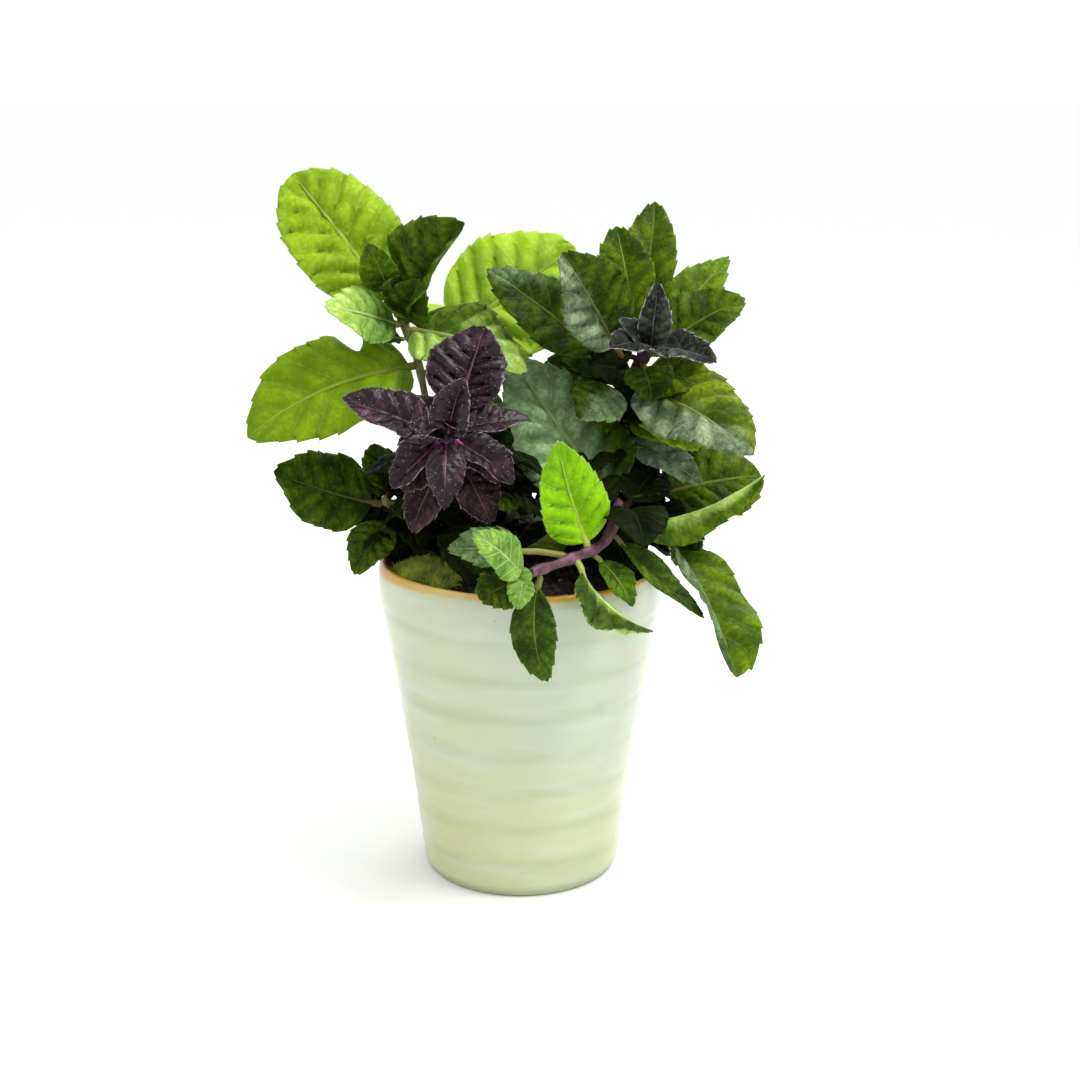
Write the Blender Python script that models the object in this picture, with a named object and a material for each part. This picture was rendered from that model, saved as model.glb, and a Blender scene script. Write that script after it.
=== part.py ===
"""Water mint in a small thrown cup.

Seven rooted shoots stand in the soil of one glazed cup. Every leaf is a thin solid of its own that starts
just outside its stem. The youngest leaves at the end of a shoot grow from one bud and are one solid with it.
The origin is the middle of the cup's foot, +Z is up, and the front of the plant looks along -Y.
"""

import math
from typing import NamedTuple

import bmesh
import bpy
from mathutils import Matrix, Vector

MM = 0.001

# Cup, in millimetres
POT_HEIGHT = 58.0
POT_OUTLINE = ((0.0, 17.4), (3.0, 18.2), (11.0, 19.1), (19.0, 20.0), (27.0, 21.5), (35.0, 22.6), (42.5, 23.8),
               (50.0, 25.3), (54.0, 25.9), (58.0, 25.2))
POT_WALL = 2.2
POT_FLOOR = 4.0
POT_SIDES = 30
FOOT_ROUNDING = 0.9
FLOOR_ROUNDING = 3.0
LIP_ROUNDING = 0.8
LIP_INNER_DROP = 0.5
LIP_DEPTH = 6.0
RIDGE_PITCH = 7.4
RIDGE_LOWEST = 6.3
RIDGE_DEPTH = 0.22
CREST_RISE = 0.07
RIDGE_TOP = 54.0
RIM_RISE = 0.5
RIM_RISE_HEADING = 200.0

# Soil and moss, in millimetres
GAP = 0.3
LEAF_GAP = 0.6
SOIL_EDGE_HEIGHT = 54.6
SOIL_MOUND = 2.0
SOIL_SIDES = 24
SOIL_RINGS = 3
SOIL_LUMP = 0.35
SOIL_CLEARANCE = 0.45
SOCKET_GAP = 0.5
SOCKET_REACH = 4.0
MOSS_CENTRE = (-16.6, -8.0)
MOSS_RADIUS = (4.6, 4.2)
MOSS_HEIGHT = 3.0
MOSS_SIDES = 14
MOSS_RINGS = ((1.0, 0.0), (0.96, 0.6), (0.55, 0.9))

# Leaves and stems, in millimetres
LEAF_THICKNESS = 0.6
STALK_WIDTH = 1.1
TOOTH_DEPTH = 0.07
NOTCH_SPREAD = 0.05
STEM_FOOT = 45.0
STEM_POINTS = 11
STEM_TAPER = 0.75
BUD_SIZE = 1.3

BRIGHT = (0.22, 0.42, 0.03)
YELLOW = (0.36, 0.56, 0.04)
GREEN = (0.08, 0.22, 0.03)
DARK = (0.03, 0.09, 0.02)
OLIVE = (0.09, 0.15, 0.01)
BLUISH = (0.04, 0.12, 0.06)
PURPLE = (0.035, 0.012, 0.03)
BROWN = (0.09, 0.05, 0.05)


class Leaf(NamedTuple):
    """One leaf. Directions are (heading, rise) in degrees: 0 is +X, 90 is +Y, and rise is upwards.

    The blade is broadest at the share of its length in widest, and a small tip value makes its end blunt.
    Fold bends both halves up along the midrib, and sides adds to it on one half or the other. A notch in one
    edge is where it lies along the leaf, and how much of the half it takes.
    """

    name: str
    at: float
    points: tuple
    length: float
    width: float
    faces: tuple
    arch: float = 0.08
    sway: float = 0.0
    fold: float = 14.0
    cup: float = 0.0
    stalk: float = 1.5
    widest: float = 0.4
    tip: float = 0.85
    sides: tuple = (0, 0)
    notch: tuple = (0.0, 0.0)
    teeth: int = 4
    columns: int = 2
    colour: tuple = GREEN


class Shoot(NamedTuple):
    """A stem's route through the air, its radius, its single leaves, and the young leaves of its bud."""

    name: str
    route: tuple
    radius: float
    colour: tuple
    leaves: tuple
    young: tuple = ()


TALL = Shoot(
    "tall",
    ((-10.0, 7.0, STEM_FOOT), (-10.6, 7.0, 57.0), (-14.2, 5.5, 73.0), (-16.6, 4.2, 85.0), (-18.2, 3.6, 93.5),
     (-20.6, 3.2, 100.5), (-22.0, 3.0, 104.0)),
    0.85,
    (0.16, 0.16, 0.04),
    (
        Leaf("tall_leaf_back", 0.985, (155, 47), 30.0, 20.5, (-80, 30), arch=0.05, fold=8, widest=0.46,
             tip=0.6, teeth=6, columns=4, colour=BRIGHT),
        Leaf("tall_leaf_upright", 0.953, (-32, 50), 21.5, 20.5, (-120, 10), arch=0.04, fold=6, stalk=2.0,
             sides=(0, 52), teeth=5, colour=OLIVE),
        Leaf("tall_leaf_side", 0.93, (-144, 14), 16.0, 11.5, (-90, 42), arch=0.06, fold=6, stalk=0.8,
             colour=YELLOW),
        Leaf("tall_leaf_under", 0.935, (178, 4), 9.5, 5.4, (-90, 50), fold=6, stalk=0.8, colour=BRIGHT),
        Leaf("tall_leaf_right", 0.9, (-18, -15), 23.0, 16.5, (-75, 45), arch=0.12, fold=8, stalk=0.3,
             widest=0.33, teeth=5),
        Leaf("tall_leaf_small", 0.885, (-152, 4), 6.8, 5.0, (-90, 60), fold=6, stalk=0.5, teeth=3),
        Leaf("tall_leaf_low_left", 0.8, (-161, -20), 32.7, 19.5, (-85, 40), arch=0.16, fold=8, stalk=0.5,
             tip=0.7, notch=(0.24, 0.62), teeth=6, columns=4, colour=BRIGHT),
        Leaf("tall_leaf_low_right", 0.77, (27, -27), 19.0, 11.0, (-90, 55), teeth=3),
    ),
    (
        Leaf("tall_young_left", 1.0, (-132, 60), 10.0, 7.0, (-100, 20), cup=0.2, stalk=0.3, teeth=3),
        Leaf("tall_young_right", 1.0, (-85, 30), 5.0, 3.5, (-110, 50), fold=20, stalk=0.3, teeth=3),
    ),
)

BACK = Shoot(
    "back",
    ((-4.0, 14.0, STEM_FOOT), (-5.0, 15.0, 57.0), (-10.0, 18.0, 76.0), (-14.0, 20.0, 92.0),
     (-14.5, 20.5, 96.5)),
    0.8,
    (0.2, 0.3, 0.05),
    (
        Leaf("back_leaf_large", 0.97, (7, 34), 29.5, 24.0, (-80, 25), arch=0.04, fold=6, tip=0.65,
             teeth=6, columns=4, colour=YELLOW),
        Leaf("back_leaf_rear", 0.95, (130, 25), 17.0, 12.0, (90, 70), arch=0.14, teeth=3, colour=YELLOW),
    ),
)

PURPLE_SHOOT = Shoot(
    "purple",
    ((-4.0, -6.0, STEM_FOOT), (-4.6, -6.2, 57.0), (-8.5, -9.0, 70.0), (-11.5, -12.5, 80.5),
     (-12.0, -16.0, 84.3), (-11.8, -20.0, 84.2)),
    0.9,
    PURPLE,
    (
        Leaf("purple_leaf_top", 0.9, (52, 60), 19.5, 14.5, (-100, 25), arch=-0.04, stalk=3.5, tip=0.75,
             teeth=5, colour=PURPLE),
        Leaf("purple_leaf_left", 0.88, (177, 20), 18.8, 10.5, (-90, 55), arch=0.0, fold=24, teeth=5,
             colour=PURPLE),
        Leaf("purple_leaf_right", 0.9, (16, 6), 14.5, 7.5, (-90, 60), arch=0.06, fold=26, stalk=1.0,
             colour=PURPLE),
        Leaf("purple_leaf_front_left", 0.945, (-151, -38), 13.0, 8.5, (-100, 55), arch=0.04, fold=30,
             stalk=1.0, colour=PURPLE),
        Leaf("purple_leaf_front_right", 0.955, (-10, -35), 13.7, 8.2, (-80, 55), fold=30, stalk=1.0,
             colour=PURPLE),
        Leaf("purple_leaf_low_left", 0.8, (-143, -58), 15.5, 8.0, (-95, 45), arch=0.1, teeth=3,
             colour=BROWN),
        Leaf("purple_leaf_low_right", 0.76, (-42, -50), 13.0, 8.5, (-75, 45), arch=0.1, teeth=3,
             colour=BROWN),
        Leaf("purple_leaf_under", 0.84, (-140, -35), 12.0, 8.0, (-95, 45), arch=0.1, teeth=3,
             colour=BROWN),
    ),
    (
        Leaf("purple_young_up", 1.0, (-44, 68), 11.3, 8.5, (-100, 20), fold=32, stalk=0.3, teeth=3,
             colour=PURPLE),
        Leaf("purple_young_down", 1.0, (-90, -48), 13.3, 7.5, (-90, 40), arch=0.2, fold=-30, stalk=0.3,
             teeth=3, colour=PURPLE),
        Leaf("purple_young_left", 1.0, (178, 20), 6.5, 5.0, (-90, 60), fold=24, stalk=0.3, teeth=3,
             colour=PURPLE),
    ),
)

LOW_LEFT = Shoot(
    "low_left",
    ((-14.0, 2.0, STEM_FOOT), (-15.2, 1.8, 57.0), (-20.0, -0.5, 64.0), (-24.0, -3.5, 70.0)),
    0.8,
    (0.05, 0.06, 0.02),
    (
        Leaf("low_left_leaf_large", 0.97, (-167, 18), 20.5, 15.5, (-85, 40), arch=-0.08, fold=6, teeth=5,
             colour=DARK),
        Leaf("low_left_leaf_up", 0.95, (113, 51), 12.0, 8.0, (-60, 30), teeth=3, colour=DARK),
        Leaf("low_left_leaf_down", 0.86, (-131, -41), 14.0, 9.0, (-100, 50), arch=0.1, teeth=3,
             colour=DARK),
        Leaf("low_left_leaf_inner", 0.97, (-35, -12), 9.0, 7.0, (-80, 65), teeth=3, colour=DARK),
    ),
)

DARK_SHOOT = Shoot(
    "dark",
    ((11.5, 6.0, STEM_FOOT), (12.0, 6.2, 57.0), (15.5, 6.8, 74.0), (18.4, 6.0, 86.0), (20.6, 3.0, 92.0),
     (22.2, -1.5, 95.6)),
    1.1,
    (0.1, 0.04, 0.04),
    (
        Leaf("dark_leaf_far_left", 0.845, (180, 37), 32.0, 13.0, (-85, 35), arch=0.05, stalk=7.0, teeth=5,
             colour=DARK),
        Leaf("dark_leaf_left", 0.87, (-146, 54), 27.0, 15.0, (-66, 14), arch=0.05, stalk=6.0, teeth=5,
             columns=4, colour=DARK),
        Leaf("dark_leaf_middle", 0.95, (130, 72), 23.6, 10.5, (-80, 8), arch=0.03, stalk=5.0, widest=0.5),
        Leaf("dark_leaf_top", 0.92, (76, 65), 30.0, 10.0, (-95, 15), arch=0.05, stalk=3.0, widest=0.55,
             colour=OLIVE),
        Leaf("dark_leaf_back_right", 0.9, (41, 38), 29.0, 11.0, (-80, 45), arch=0.06, widest=0.35,
             tip=1.0, teeth=5, colour=BRIGHT),
        Leaf("dark_leaf_right", 0.96, (9, 29), 20.5, 11.5, (-85, 45), stalk=3.0, colour=OLIVE),
        Leaf("dark_leaf_large_right", 0.82, (-43, -18), 29.0, 18.0, (-75, 45), arch=0.1, fold=8,
             stalk=1.0, widest=0.45, teeth=6, columns=4, colour=OLIVE),
        Leaf("dark_leaf_rear", 0.83, (143, 24), 17.0, 11.5, (-90, 35), arch=0.1, teeth=3, colour=DARK),
        Leaf("dark_leaf_small", 0.83, (-134, -22), 14.0, 10.5, (-100, 38), arch=0.04, stalk=2.5,
             widest=0.45, teeth=3),
        Leaf("dark_leaf_low_right", 0.75, (-46, -19), 19.0, 10.0, (-75, 45), stalk=4.0, teeth=3,
             colour=BRIGHT),
    ),
    (
        Leaf("dark_young_up", 1.0, (-83, 68), 12.5, 7.0, (-90, -10), fold=34, stalk=0.3, teeth=3,
             colour=BROWN),
        Leaf("dark_young_left", 1.0, (-129, 6), 12.0, 7.5, (-90, 50), fold=18, stalk=0.3, teeth=3,
             colour=BROWN),
        Leaf("dark_young_right", 1.0, (-38, -6), 13.5, 8.0, (-80, 50), fold=24, stalk=0.3, teeth=3,
             colour=BROWN),
    ),
)

FRONT = Shoot(
    "front",
    ((8.6, 4.0, STEM_FOOT), (10.0, 3.0, 57.0), (15.2, -2.5, 66.0), (17.0, -10.0, 70.4), (14.5, -18.0, 66.0),
     (8.4, -25.0, 64.7), (2.0, -32.0, 64.4)),
    1.05,
    (0.14, 0.03, 0.07),
    (
        Leaf("front_leaf_bright", 0.77, (-144, 72), 20.5, 12.5, (-70, 10), arch=-0.05, fold=8, stalk=0.2,
             widest=0.34, tip=0.95, teeth=5, colour=YELLOW),
        Leaf("front_leaf_long", 0.62, (8, 16), 27.5, 9.5, (-85, 70), arch=-0.1, fold=-52, widest=0.36,
             teeth=6, columns=4),
        Leaf("front_leaf_left", 0.85, (-166, 9), 20.4, 8.5, (-80, 50), arch=0.05, stalk=7.5, teeth=5,
             colour=BLUISH),
        Leaf("front_leaf_round", 0.95, (-147, -14), 12.6, 8.0, (-90, 40), fold=-14, stalk=4.5, tip=0.65,
             colour=DARK),
        Leaf("front_leaf_hanging", 0.97, (-74, -72), 18.0, 7.5, (-90, 20), arch=0.05, sway=0.1, fold=8,
             widest=0.45, teeth=5),
        Leaf("front_leaf_folded", 0.83, (-28, -36), 18.0, 12.0, (10, 55), arch=-0.1, fold=-32, tip=1.0,
             teeth=5, colour=YELLOW),
        Leaf("front_leaf_hidden", 0.76, (-36, -44), 12.0, 6.2, (-60, 60), arch=0.1, teeth=3),
        Leaf("front_leaf_big", 0.5, (146, 47), 33.5, 22.0, (-78, 38), arch=-0.02, fold=8, widest=0.3,
             teeth=6, columns=4, colour=BLUISH),
        Leaf("front_leaf_drooping", 0.66, (-20, -38), 21.6, 6.0, (-60, 50), arch=-0.03, fold=30, teeth=5),
        Leaf("front_leaf_shade", 0.45, (154, 22), 20.0, 12.0, (-80, 50), teeth=3, colour=DARK),
    ),
    (
        Leaf("front_young_up", 1.0, (-148, 41), 12.5, 7.5, (-80, 40), fold=10, stalk=0.3, teeth=3,
             colour=YELLOW),
        Leaf("front_young_low", 1.0, (-100, -40), 6.6, 4.5, (-90, 40), fold=10, stalk=0.3, teeth=3,
             colour=YELLOW),
    ),
)

LOW_RIGHT = Shoot(
    "low_right",
    ((19.0, 3.0, STEM_FOOT), (19.4, 2.6, 57.0), (22.5, 0.5, 65.0), (24.6, -1.0, 72.0)),
    0.8,
    (0.1, 0.06, 0.03),
    (
        Leaf("low_right_leaf_right", 0.93, (19, 5), 20.7, 19.0, (-85, 45), arch=0.06, stalk=0.8, tip=0.7,
             teeth=5, colour=OLIVE),
        Leaf("low_right_leaf_inner", 0.96, (-126, 2), 9.5, 8.0, (-80, 65), fold=20, teeth=3, colour=DARK),
        Leaf("low_right_leaf_hanging", 0.76, (-58, -40), 34.9, 16.0, (-60, 30), arch=0.1, fold=8,
             stalk=7.0, widest=0.52, tip=0.55, sides=(0, 40), teeth=5, columns=4, colour=BRIGHT),
        Leaf("low_right_leaf_small", 0.86, (-28, -54), 14.0, 7.0, (-80, 40), stalk=6.5, colour=BLUISH),
    ),
)

SHOOTS = (TALL, BACK, PURPLE_SHOOT, LOW_LEFT, DARK_SHOOT, FRONT, LOW_RIGHT)


def direction(heading, rise):
    """Unit vector for a compass heading and a rise above the horizontal, both in degrees."""
    h = math.radians(heading)
    r = math.radians(rise)
    return Vector((math.cos(h) * math.cos(r), math.sin(h) * math.cos(r), math.sin(r)))


def smooth_route(points, count):
    """Evenly spaced points on a Catmull-Rom curve through the given points."""
    knots = [Vector(p) for p in points]
    knots = [2 * knots[0] - knots[1]] + knots + [2 * knots[-1] - knots[-2]]
    fine = []
    for i in range(1, len(knots) - 2):
        a, b, c, d = knots[i - 1:i + 3]
        for step in range(12):
            t = step / 12
            fine.append(0.5 * (2 * b + (c - a) * t + (2 * a - 5 * b + 4 * c - d) * t * t
                               + (3 * b - a - 3 * c + d) * t ** 3))
    fine.append(knots[-2])
    return [route_point(fine, i / (count - 1)) for i in range(count)]


def route_point(points, fraction):
    """Point at a fraction of the length of a line of points."""
    lengths = [(b - a).length for a, b in zip(points, points[1:])]
    left = fraction * sum(lengths)
    for start, end, length in zip(points, points[1:], lengths):
        if left <= length:
            return start.lerp(end, left / length)
        left -= length
    return points[-1].copy()


def stem_radius(shoot, fraction):
    """Radius of a stem at a fraction of its length: it thins towards the end."""
    return shoot.radius * (1 - (1 - STEM_TAPER) * fraction)


def new_object(name, mesh, colour, roughness=0.5):
    """Object with its own plain material, placed in the scene."""
    obj = bpy.data.objects.new(name, mesh)
    bpy.context.scene.collection.objects.link(obj)
    material = bpy.data.materials.new(name)
    material.use_nodes = True
    surface = material.node_tree.nodes["Principled BSDF"]
    surface.inputs["Base Color"].default_value = (*colour, 1)
    surface.inputs["Roughness"].default_value = roughness
    surface.inputs["Metallic"].default_value = 0
    obj.data.materials.append(material)
    return obj


def make_helper(obj):
    """Leave a cutter or a union's operand out of the finished part."""
    obj.hide_render = True
    obj.display_type = "WIRE"


def mesh_from(name, vertices, faces):
    """Smooth mesh in metres from vertices in millimetres."""
    mesh = bpy.data.meshes.new(name)
    mesh.from_pydata([Vector(v) * MM for v in vertices], [], faces)
    mesh.shade_smooth()
    mesh.update()
    return mesh


def lathe(name, rows, sides):
    """Closed turned body: rows are functions of the heading that give (radius, height), from pole to pole."""
    first, last = rows[0](0.0)[1], rows[-1](0.0)[1]
    vertices = [(0.0, 0.0, first)]
    for row in rows[1:-1]:
        for i in range(sides):
            heading = math.tau * i / sides
            radius, height = row(heading)
            vertices.append((radius * math.cos(heading), radius * math.sin(heading), height))
    vertices.append((0.0, 0.0, last))
    faces = [(0, 1 + (i + 1) % sides, 1 + i) for i in range(sides)]
    for r in range(len(rows) - 3):
        low = 1 + r * sides
        high = low + sides
        faces += [(low + i, low + (i + 1) % sides, high + (i + 1) % sides, high + i) for i in range(sides)]
    top = 1 + (len(rows) - 3) * sides
    faces += [(top + i, top + (i + 1) % sides, len(vertices) - 1) for i in range(sides)]
    return mesh_from(name, vertices, faces)


def pot_radius(height):
    """Outer radius of the cup, read between the measured heights."""
    for (low, low_radius), (high, high_radius) in zip(POT_OUTLINE, POT_OUTLINE[1:]):
        if height <= high:
            return low_radius + (high_radius - low_radius) * (height - low) / (high - low)
    return POT_OUTLINE[-1][1]


def rim_height(heading, height):
    """Height of a point on the cup, raised on the side where the rim stands higher."""
    share = max(0.0, height / POT_HEIGHT - 0.5) * 2
    return height + RIM_RISE * share * math.cos(heading - math.radians(RIM_RISE_HEADING))


def pot_row(radius, height):
    """One ring of the cup's section."""
    return lambda heading: (radius, rim_height(heading, height))


def build_pot():
    """Cup with a rounded foot, throwing ridges outside, a rounded lip and a plain inner wall."""
    foot = pot_radius(0) - FOOT_ROUNDING
    rows = [pot_row(0, 0), pot_row(foot, 0), pot_row(pot_radius(FOOT_ROUNDING), FOOT_ROUNDING)]
    height = RIDGE_LOWEST
    while height < RIDGE_TOP:
        rows.append(pot_row(pot_radius(height) - RIDGE_DEPTH, height))
        crest = min(height + RIDGE_PITCH / 2, RIDGE_TOP)
        rows.append(pot_row(pot_radius(crest) + CREST_RISE, crest))
        height += RIDGE_PITCH
    lip = pot_radius(POT_HEIGHT)
    rows.append(pot_row(lip, POT_HEIGHT - LIP_ROUNDING))
    rows.append(pot_row(lip - LIP_ROUNDING, POT_HEIGHT))
    rows.append(pot_row(lip - 2 * LIP_ROUNDING, POT_HEIGHT - LIP_INNER_DROP))
    for height in (POT_HEIGHT - LIP_DEPTH, POT_HEIGHT / 2, POT_FLOOR + FLOOR_ROUNDING):
        rows.append(pot_row(pot_radius(height) - POT_WALL, height))
    rows.append(pot_row(pot_radius(POT_FLOOR) - POT_WALL - FLOOR_ROUNDING, POT_FLOOR))
    rows.append(pot_row(0, POT_FLOOR))
    return new_object("pot", lathe("pot", rows, POT_SIDES), (0.56, 0.62, 0.43), 0.25)


def soil_height(x, y):
    """Height of the soil's surface: a low mound with small lumps."""
    reach = pot_radius(SOIL_EDGE_HEIGHT) - POT_WALL
    spread = min(1.0, math.hypot(x, y) / reach)
    lump = math.sin(0.55 * x + 1.3) * math.cos(0.62 * y - 0.4)
    return SOIL_EDGE_HEIGHT + SOIL_MOUND * (1 - spread ** 2) + SOIL_LUMP * lump * (1 - spread ** 4)


def soil_row(share):
    """One ring of the soil's surface, at a share of the way from the middle to the wall."""
    reach = pot_radius(SOIL_EDGE_HEIGHT) - POT_WALL - GAP

    def row(heading):
        radius = reach * share
        return radius, soil_height(radius * math.cos(heading), radius * math.sin(heading))
    return row


def wall_row(height, rounding=0.0):
    """One ring of the soil's side, just inside the cup's wall."""
    return lambda heading: (pot_radius(height) - POT_WALL - SOIL_CLEARANCE - rounding, height)


def build_soil(sockets):
    """Soil that fills the cup, with a socket for each stem."""
    bottom = POT_FLOOR + SOIL_CLEARANCE
    rows = [lambda heading: (0, bottom), wall_row(bottom, FLOOR_ROUNDING)]
    for height in (POT_FLOOR + FLOOR_ROUNDING + 1, POT_HEIGHT / 2, POT_HEIGHT - LIP_DEPTH - 1):
        rows.append(wall_row(height))
    rows += [soil_row(1 - i / SOIL_RINGS) for i in range(SOIL_RINGS)]
    rows.append(lambda heading: (0, soil_height(0, 0)))
    soil = new_object("soil", lathe("soil", rows, SOIL_SIDES), (0.02, 0.014, 0.01), 0.95)
    for socket in sockets:
        cut = soil.modifiers.new(socket.name, "BOOLEAN")
        cut.operation = "DIFFERENCE"
        cut.solver = "EXACT"
        cut.object = socket
    return soil


def build_moss():
    """Low cushion of moss that lies on the soil."""
    vertices = []
    for share, rise in MOSS_RINGS:
        for i in range(MOSS_SIDES):
            heading = math.tau * i / MOSS_SIDES
            wave = 1 + 0.09 * math.sin(3 * heading + 1) + 0.06 * math.cos(5 * heading)
            x = MOSS_CENTRE[0] + MOSS_RADIUS[0] * share * wave * math.cos(heading)
            y = MOSS_CENTRE[1] + MOSS_RADIUS[1] * share * wave * math.sin(heading)
            vertices.append((x, y, moss_floor(x, y) + MOSS_HEIGHT * rise))
    x, y = MOSS_CENTRE
    vertices.append((x, y, moss_floor(x, y)))
    vertices.append((x, y, moss_floor(x, y) + MOSS_HEIGHT))
    low, high = len(vertices) - 2, len(vertices) - 1
    faces = [(low, (i + 1) % MOSS_SIDES, i) for i in range(MOSS_SIDES)]
    for ring in range(len(MOSS_RINGS) - 1):
        start = ring * MOSS_SIDES
        faces += [(start + i, start + (i + 1) % MOSS_SIDES, start + MOSS_SIDES + (i + 1) % MOSS_SIDES,
                   start + MOSS_SIDES + i) for i in range(MOSS_SIDES)]
    start = (len(MOSS_RINGS) - 1) * MOSS_SIDES
    faces += [(start + i, start + (i + 1) % MOSS_SIDES, high) for i in range(MOSS_SIDES)]
    return new_object("moss", mesh_from("moss", vertices, faces), (0.16, 0.24, 0.04), 0.95)


def moss_floor(x, y):
    """Underside of the moss, just clear of the soil."""
    return soil_height(x, y) + 2 * GAP


def build_stem(shoot):
    """Square stem along its route, as a curve with a four-sided bevel."""
    name = shoot.name + "_stem"
    points = smooth_route(shoot.route, STEM_POINTS)
    curve = bpy.data.curves.new(name, "CURVE")
    curve.dimensions = "3D"
    curve.bevel_depth = MM
    curve.bevel_resolution = 0
    curve.use_fill_caps = True
    spline = curve.splines.new("POLY")
    spline.points.add(len(points) - 1)
    for i, point in enumerate(points):
        spline.points[i].co = (*(point * MM), 1)
        spline.points[i].radius = stem_radius(shoot, i / (len(points) - 1))
    return new_object(name, curve, shoot.colour, 0.5)


def build_socket(shoot):
    """Round peg, wider than the stem's foot, that cuts its hole in the soil."""
    foot, above = (Vector(point) for point in shoot.route[:2])
    along = (above - foot).normalized()
    foot = foot - along * GAP
    above = above + along * SOCKET_REACH
    mesh = bpy.data.meshes.new(shoot.name + "_socket")
    body = bmesh.new()
    turn = along.to_track_quat("Z", "Y").to_matrix().to_4x4()
    place = Matrix.Translation((foot + above) / 2 * MM) @ turn
    radius = (shoot.radius + SOCKET_GAP) * MM
    bmesh.ops.create_cone(body, cap_ends=True, segments=8, radius1=radius, radius2=radius,
                          depth=(above - foot).length * MM, matrix=place)
    body.to_mesh(mesh)
    body.free()
    socket = new_object(mesh.name, mesh, shoot.colour)
    make_helper(socket)
    return socket


def leaf_outline(leaf, share):
    """Half width of the blade at a share of its length, as a part of the greatest half width."""
    fullness = leaf.tip * leaf.widest / (1 - leaf.widest)
    peak = leaf.widest ** fullness * (1 - leaf.widest) ** leaf.tip
    return share ** fullness * (1 - share) ** leaf.tip / peak


def leaf_rows(leaf, length):
    """Rows of a leaf as (share of the whole length, half width): the stalk, then notches and teeth."""
    rows = [(0.0, STALK_WIDTH / 2), (leaf.stalk / length, STALK_WIDTH / 2)]
    count = 2 * leaf.teeth
    for i in range(1, count):
        share = (i - 0.4) / (count - 0.4)
        tooth = TOOTH_DEPTH if i % 2 else -TOOTH_DEPTH
        half = leaf.width / 2 * leaf_outline(leaf, share) * (1 + tooth)
        along = (leaf.stalk + (length - leaf.stalk) * share) / length
        rows.append((along, max(half, STALK_WIDTH / 2)))
    return rows


def leaf_start(shoot, leaf):
    """Where a leaf leaves its stem, and where its tip is."""
    points = smooth_route(shoot.route, STEM_POINTS)
    centre = route_point(points, leaf.at)
    heading = direction(*leaf.points)
    along = (route_point(points, min(1, leaf.at + 0.02)) - route_point(points, leaf.at - 0.02)).normalized()
    outward = heading - heading.dot(along) * along
    if leaf.at > 0.999 or outward.length < 0.2:
        outward = heading
    outward.normalize()
    return centre + outward * (stem_radius(shoot, leaf.at) + LEAF_GAP), centre + heading * leaf.length


def notched(leaf, share, place):
    """What a notch leaves of the half width, at a share of the length and a place across the blade."""
    where, depth = leaf.notch
    if place <= 0:
        return 1.0
    return 1 - depth * place * place * math.exp(-((share - where) / NOTCH_SPREAD) ** 2)


def leaf_vertices(leaf, start, tip):
    """Vertices of the blade's middle surface, row by row from the stem, and the tip as the last one."""
    chord = tip - start
    length = chord.length
    ahead = chord / length
    face = direction(*leaf.faces)
    face = (face - face.dot(ahead) * ahead).normalized()
    side = ahead.cross(face)
    middle = start + chord * 0.5 + face * (2 * leaf.arch * length) + side * (2 * leaf.sway * length)
    vertices = []
    for share, half in leaf_rows(leaf, length):
        rib = start * (1 - share) ** 2 + middle * (2 * share * (1 - share)) + tip * share ** 2
        along = ((middle - start) * (1 - share) + (tip - middle) * share).normalized()
        across = along.cross(face).normalized()
        upward = across.cross(along)
        for column in range(leaf.columns + 1):
            place = 2 * column / leaf.columns - 1
            out = abs(place) * half * notched(leaf, share, place)
            fold = math.radians(leaf.fold + leaf.sides[place > 0])
            lift = out * math.sin(fold) + leaf.cup * half * place * place
            vertices.append(rib + across * math.copysign(out * math.cos(fold), place) + upward * lift)
    vertices.append(tip)
    return vertices


def build_blade(leaf, start, tip):
    """Thin toothed blade on its stalk, thickened evenly on both sides."""
    vertices = leaf_vertices(leaf, start, tip)
    across = leaf.columns + 1
    rows = (len(vertices) - 1) // across
    faces = []
    for r in range(rows - 1):
        for c in range(leaf.columns):
            a = r * across + c
            faces.append((a, a + 1, a + 1 + across, a + across))
    last = (rows - 1) * across
    faces += [(last + c, last + c + 1, len(vertices) - 1) for c in range(leaf.columns)]
    obj = new_object(leaf.name, mesh_from(leaf.name, vertices, faces), leaf.colour, 0.45)
    thick = obj.modifiers.new("thickness", "SOLIDIFY")
    thick.thickness = LEAF_THICKNESS * MM
    thick.offset = 0
    return obj


def build_leaf(shoot, leaf):
    """Leaf that starts just clear of its stem."""
    return build_blade(leaf, *leaf_start(shoot, leaf))


def build_tip(shoot):
    """Bud at the end of a shoot, with its young leaves grown from it as one solid."""
    points = smooth_route(shoot.route, STEM_POINTS)
    end = points[-1]
    along = (end - points[-2]).normalized()
    centre = end + along * (BUD_SIZE + GAP)
    colour = shoot.young[0].colour
    mesh = bpy.data.meshes.new(shoot.name + "_shoot_tip")
    body = bmesh.new()
    place = Matrix.Translation(centre * MM)
    bmesh.ops.create_icosphere(body, subdivisions=1, radius=BUD_SIZE * MM, matrix=place)
    body.to_mesh(mesh)
    body.free()
    bud = new_object(shoot.name + "_shoot_tip", mesh, colour, 0.5)
    for leaf in shoot.young:
        young = build_young_leaf(leaf, centre)
        join = bud.modifiers.new(leaf.name, "BOOLEAN")
        join.operation = "UNION"
        join.solver = "EXACT"
        join.object = young
    return bud


def build_young_leaf(leaf, centre):
    """Young leaf that starts inside the bud."""
    heading = direction(*leaf.points)
    young = build_blade(leaf, centre + heading * (BUD_SIZE * 0.3), centre + heading * leaf.length)
    make_helper(young)
    return young


def clear_scene():
    """Start from an empty scene."""
    for obj in list(bpy.data.objects):
        bpy.data.objects.remove(obj)


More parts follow.
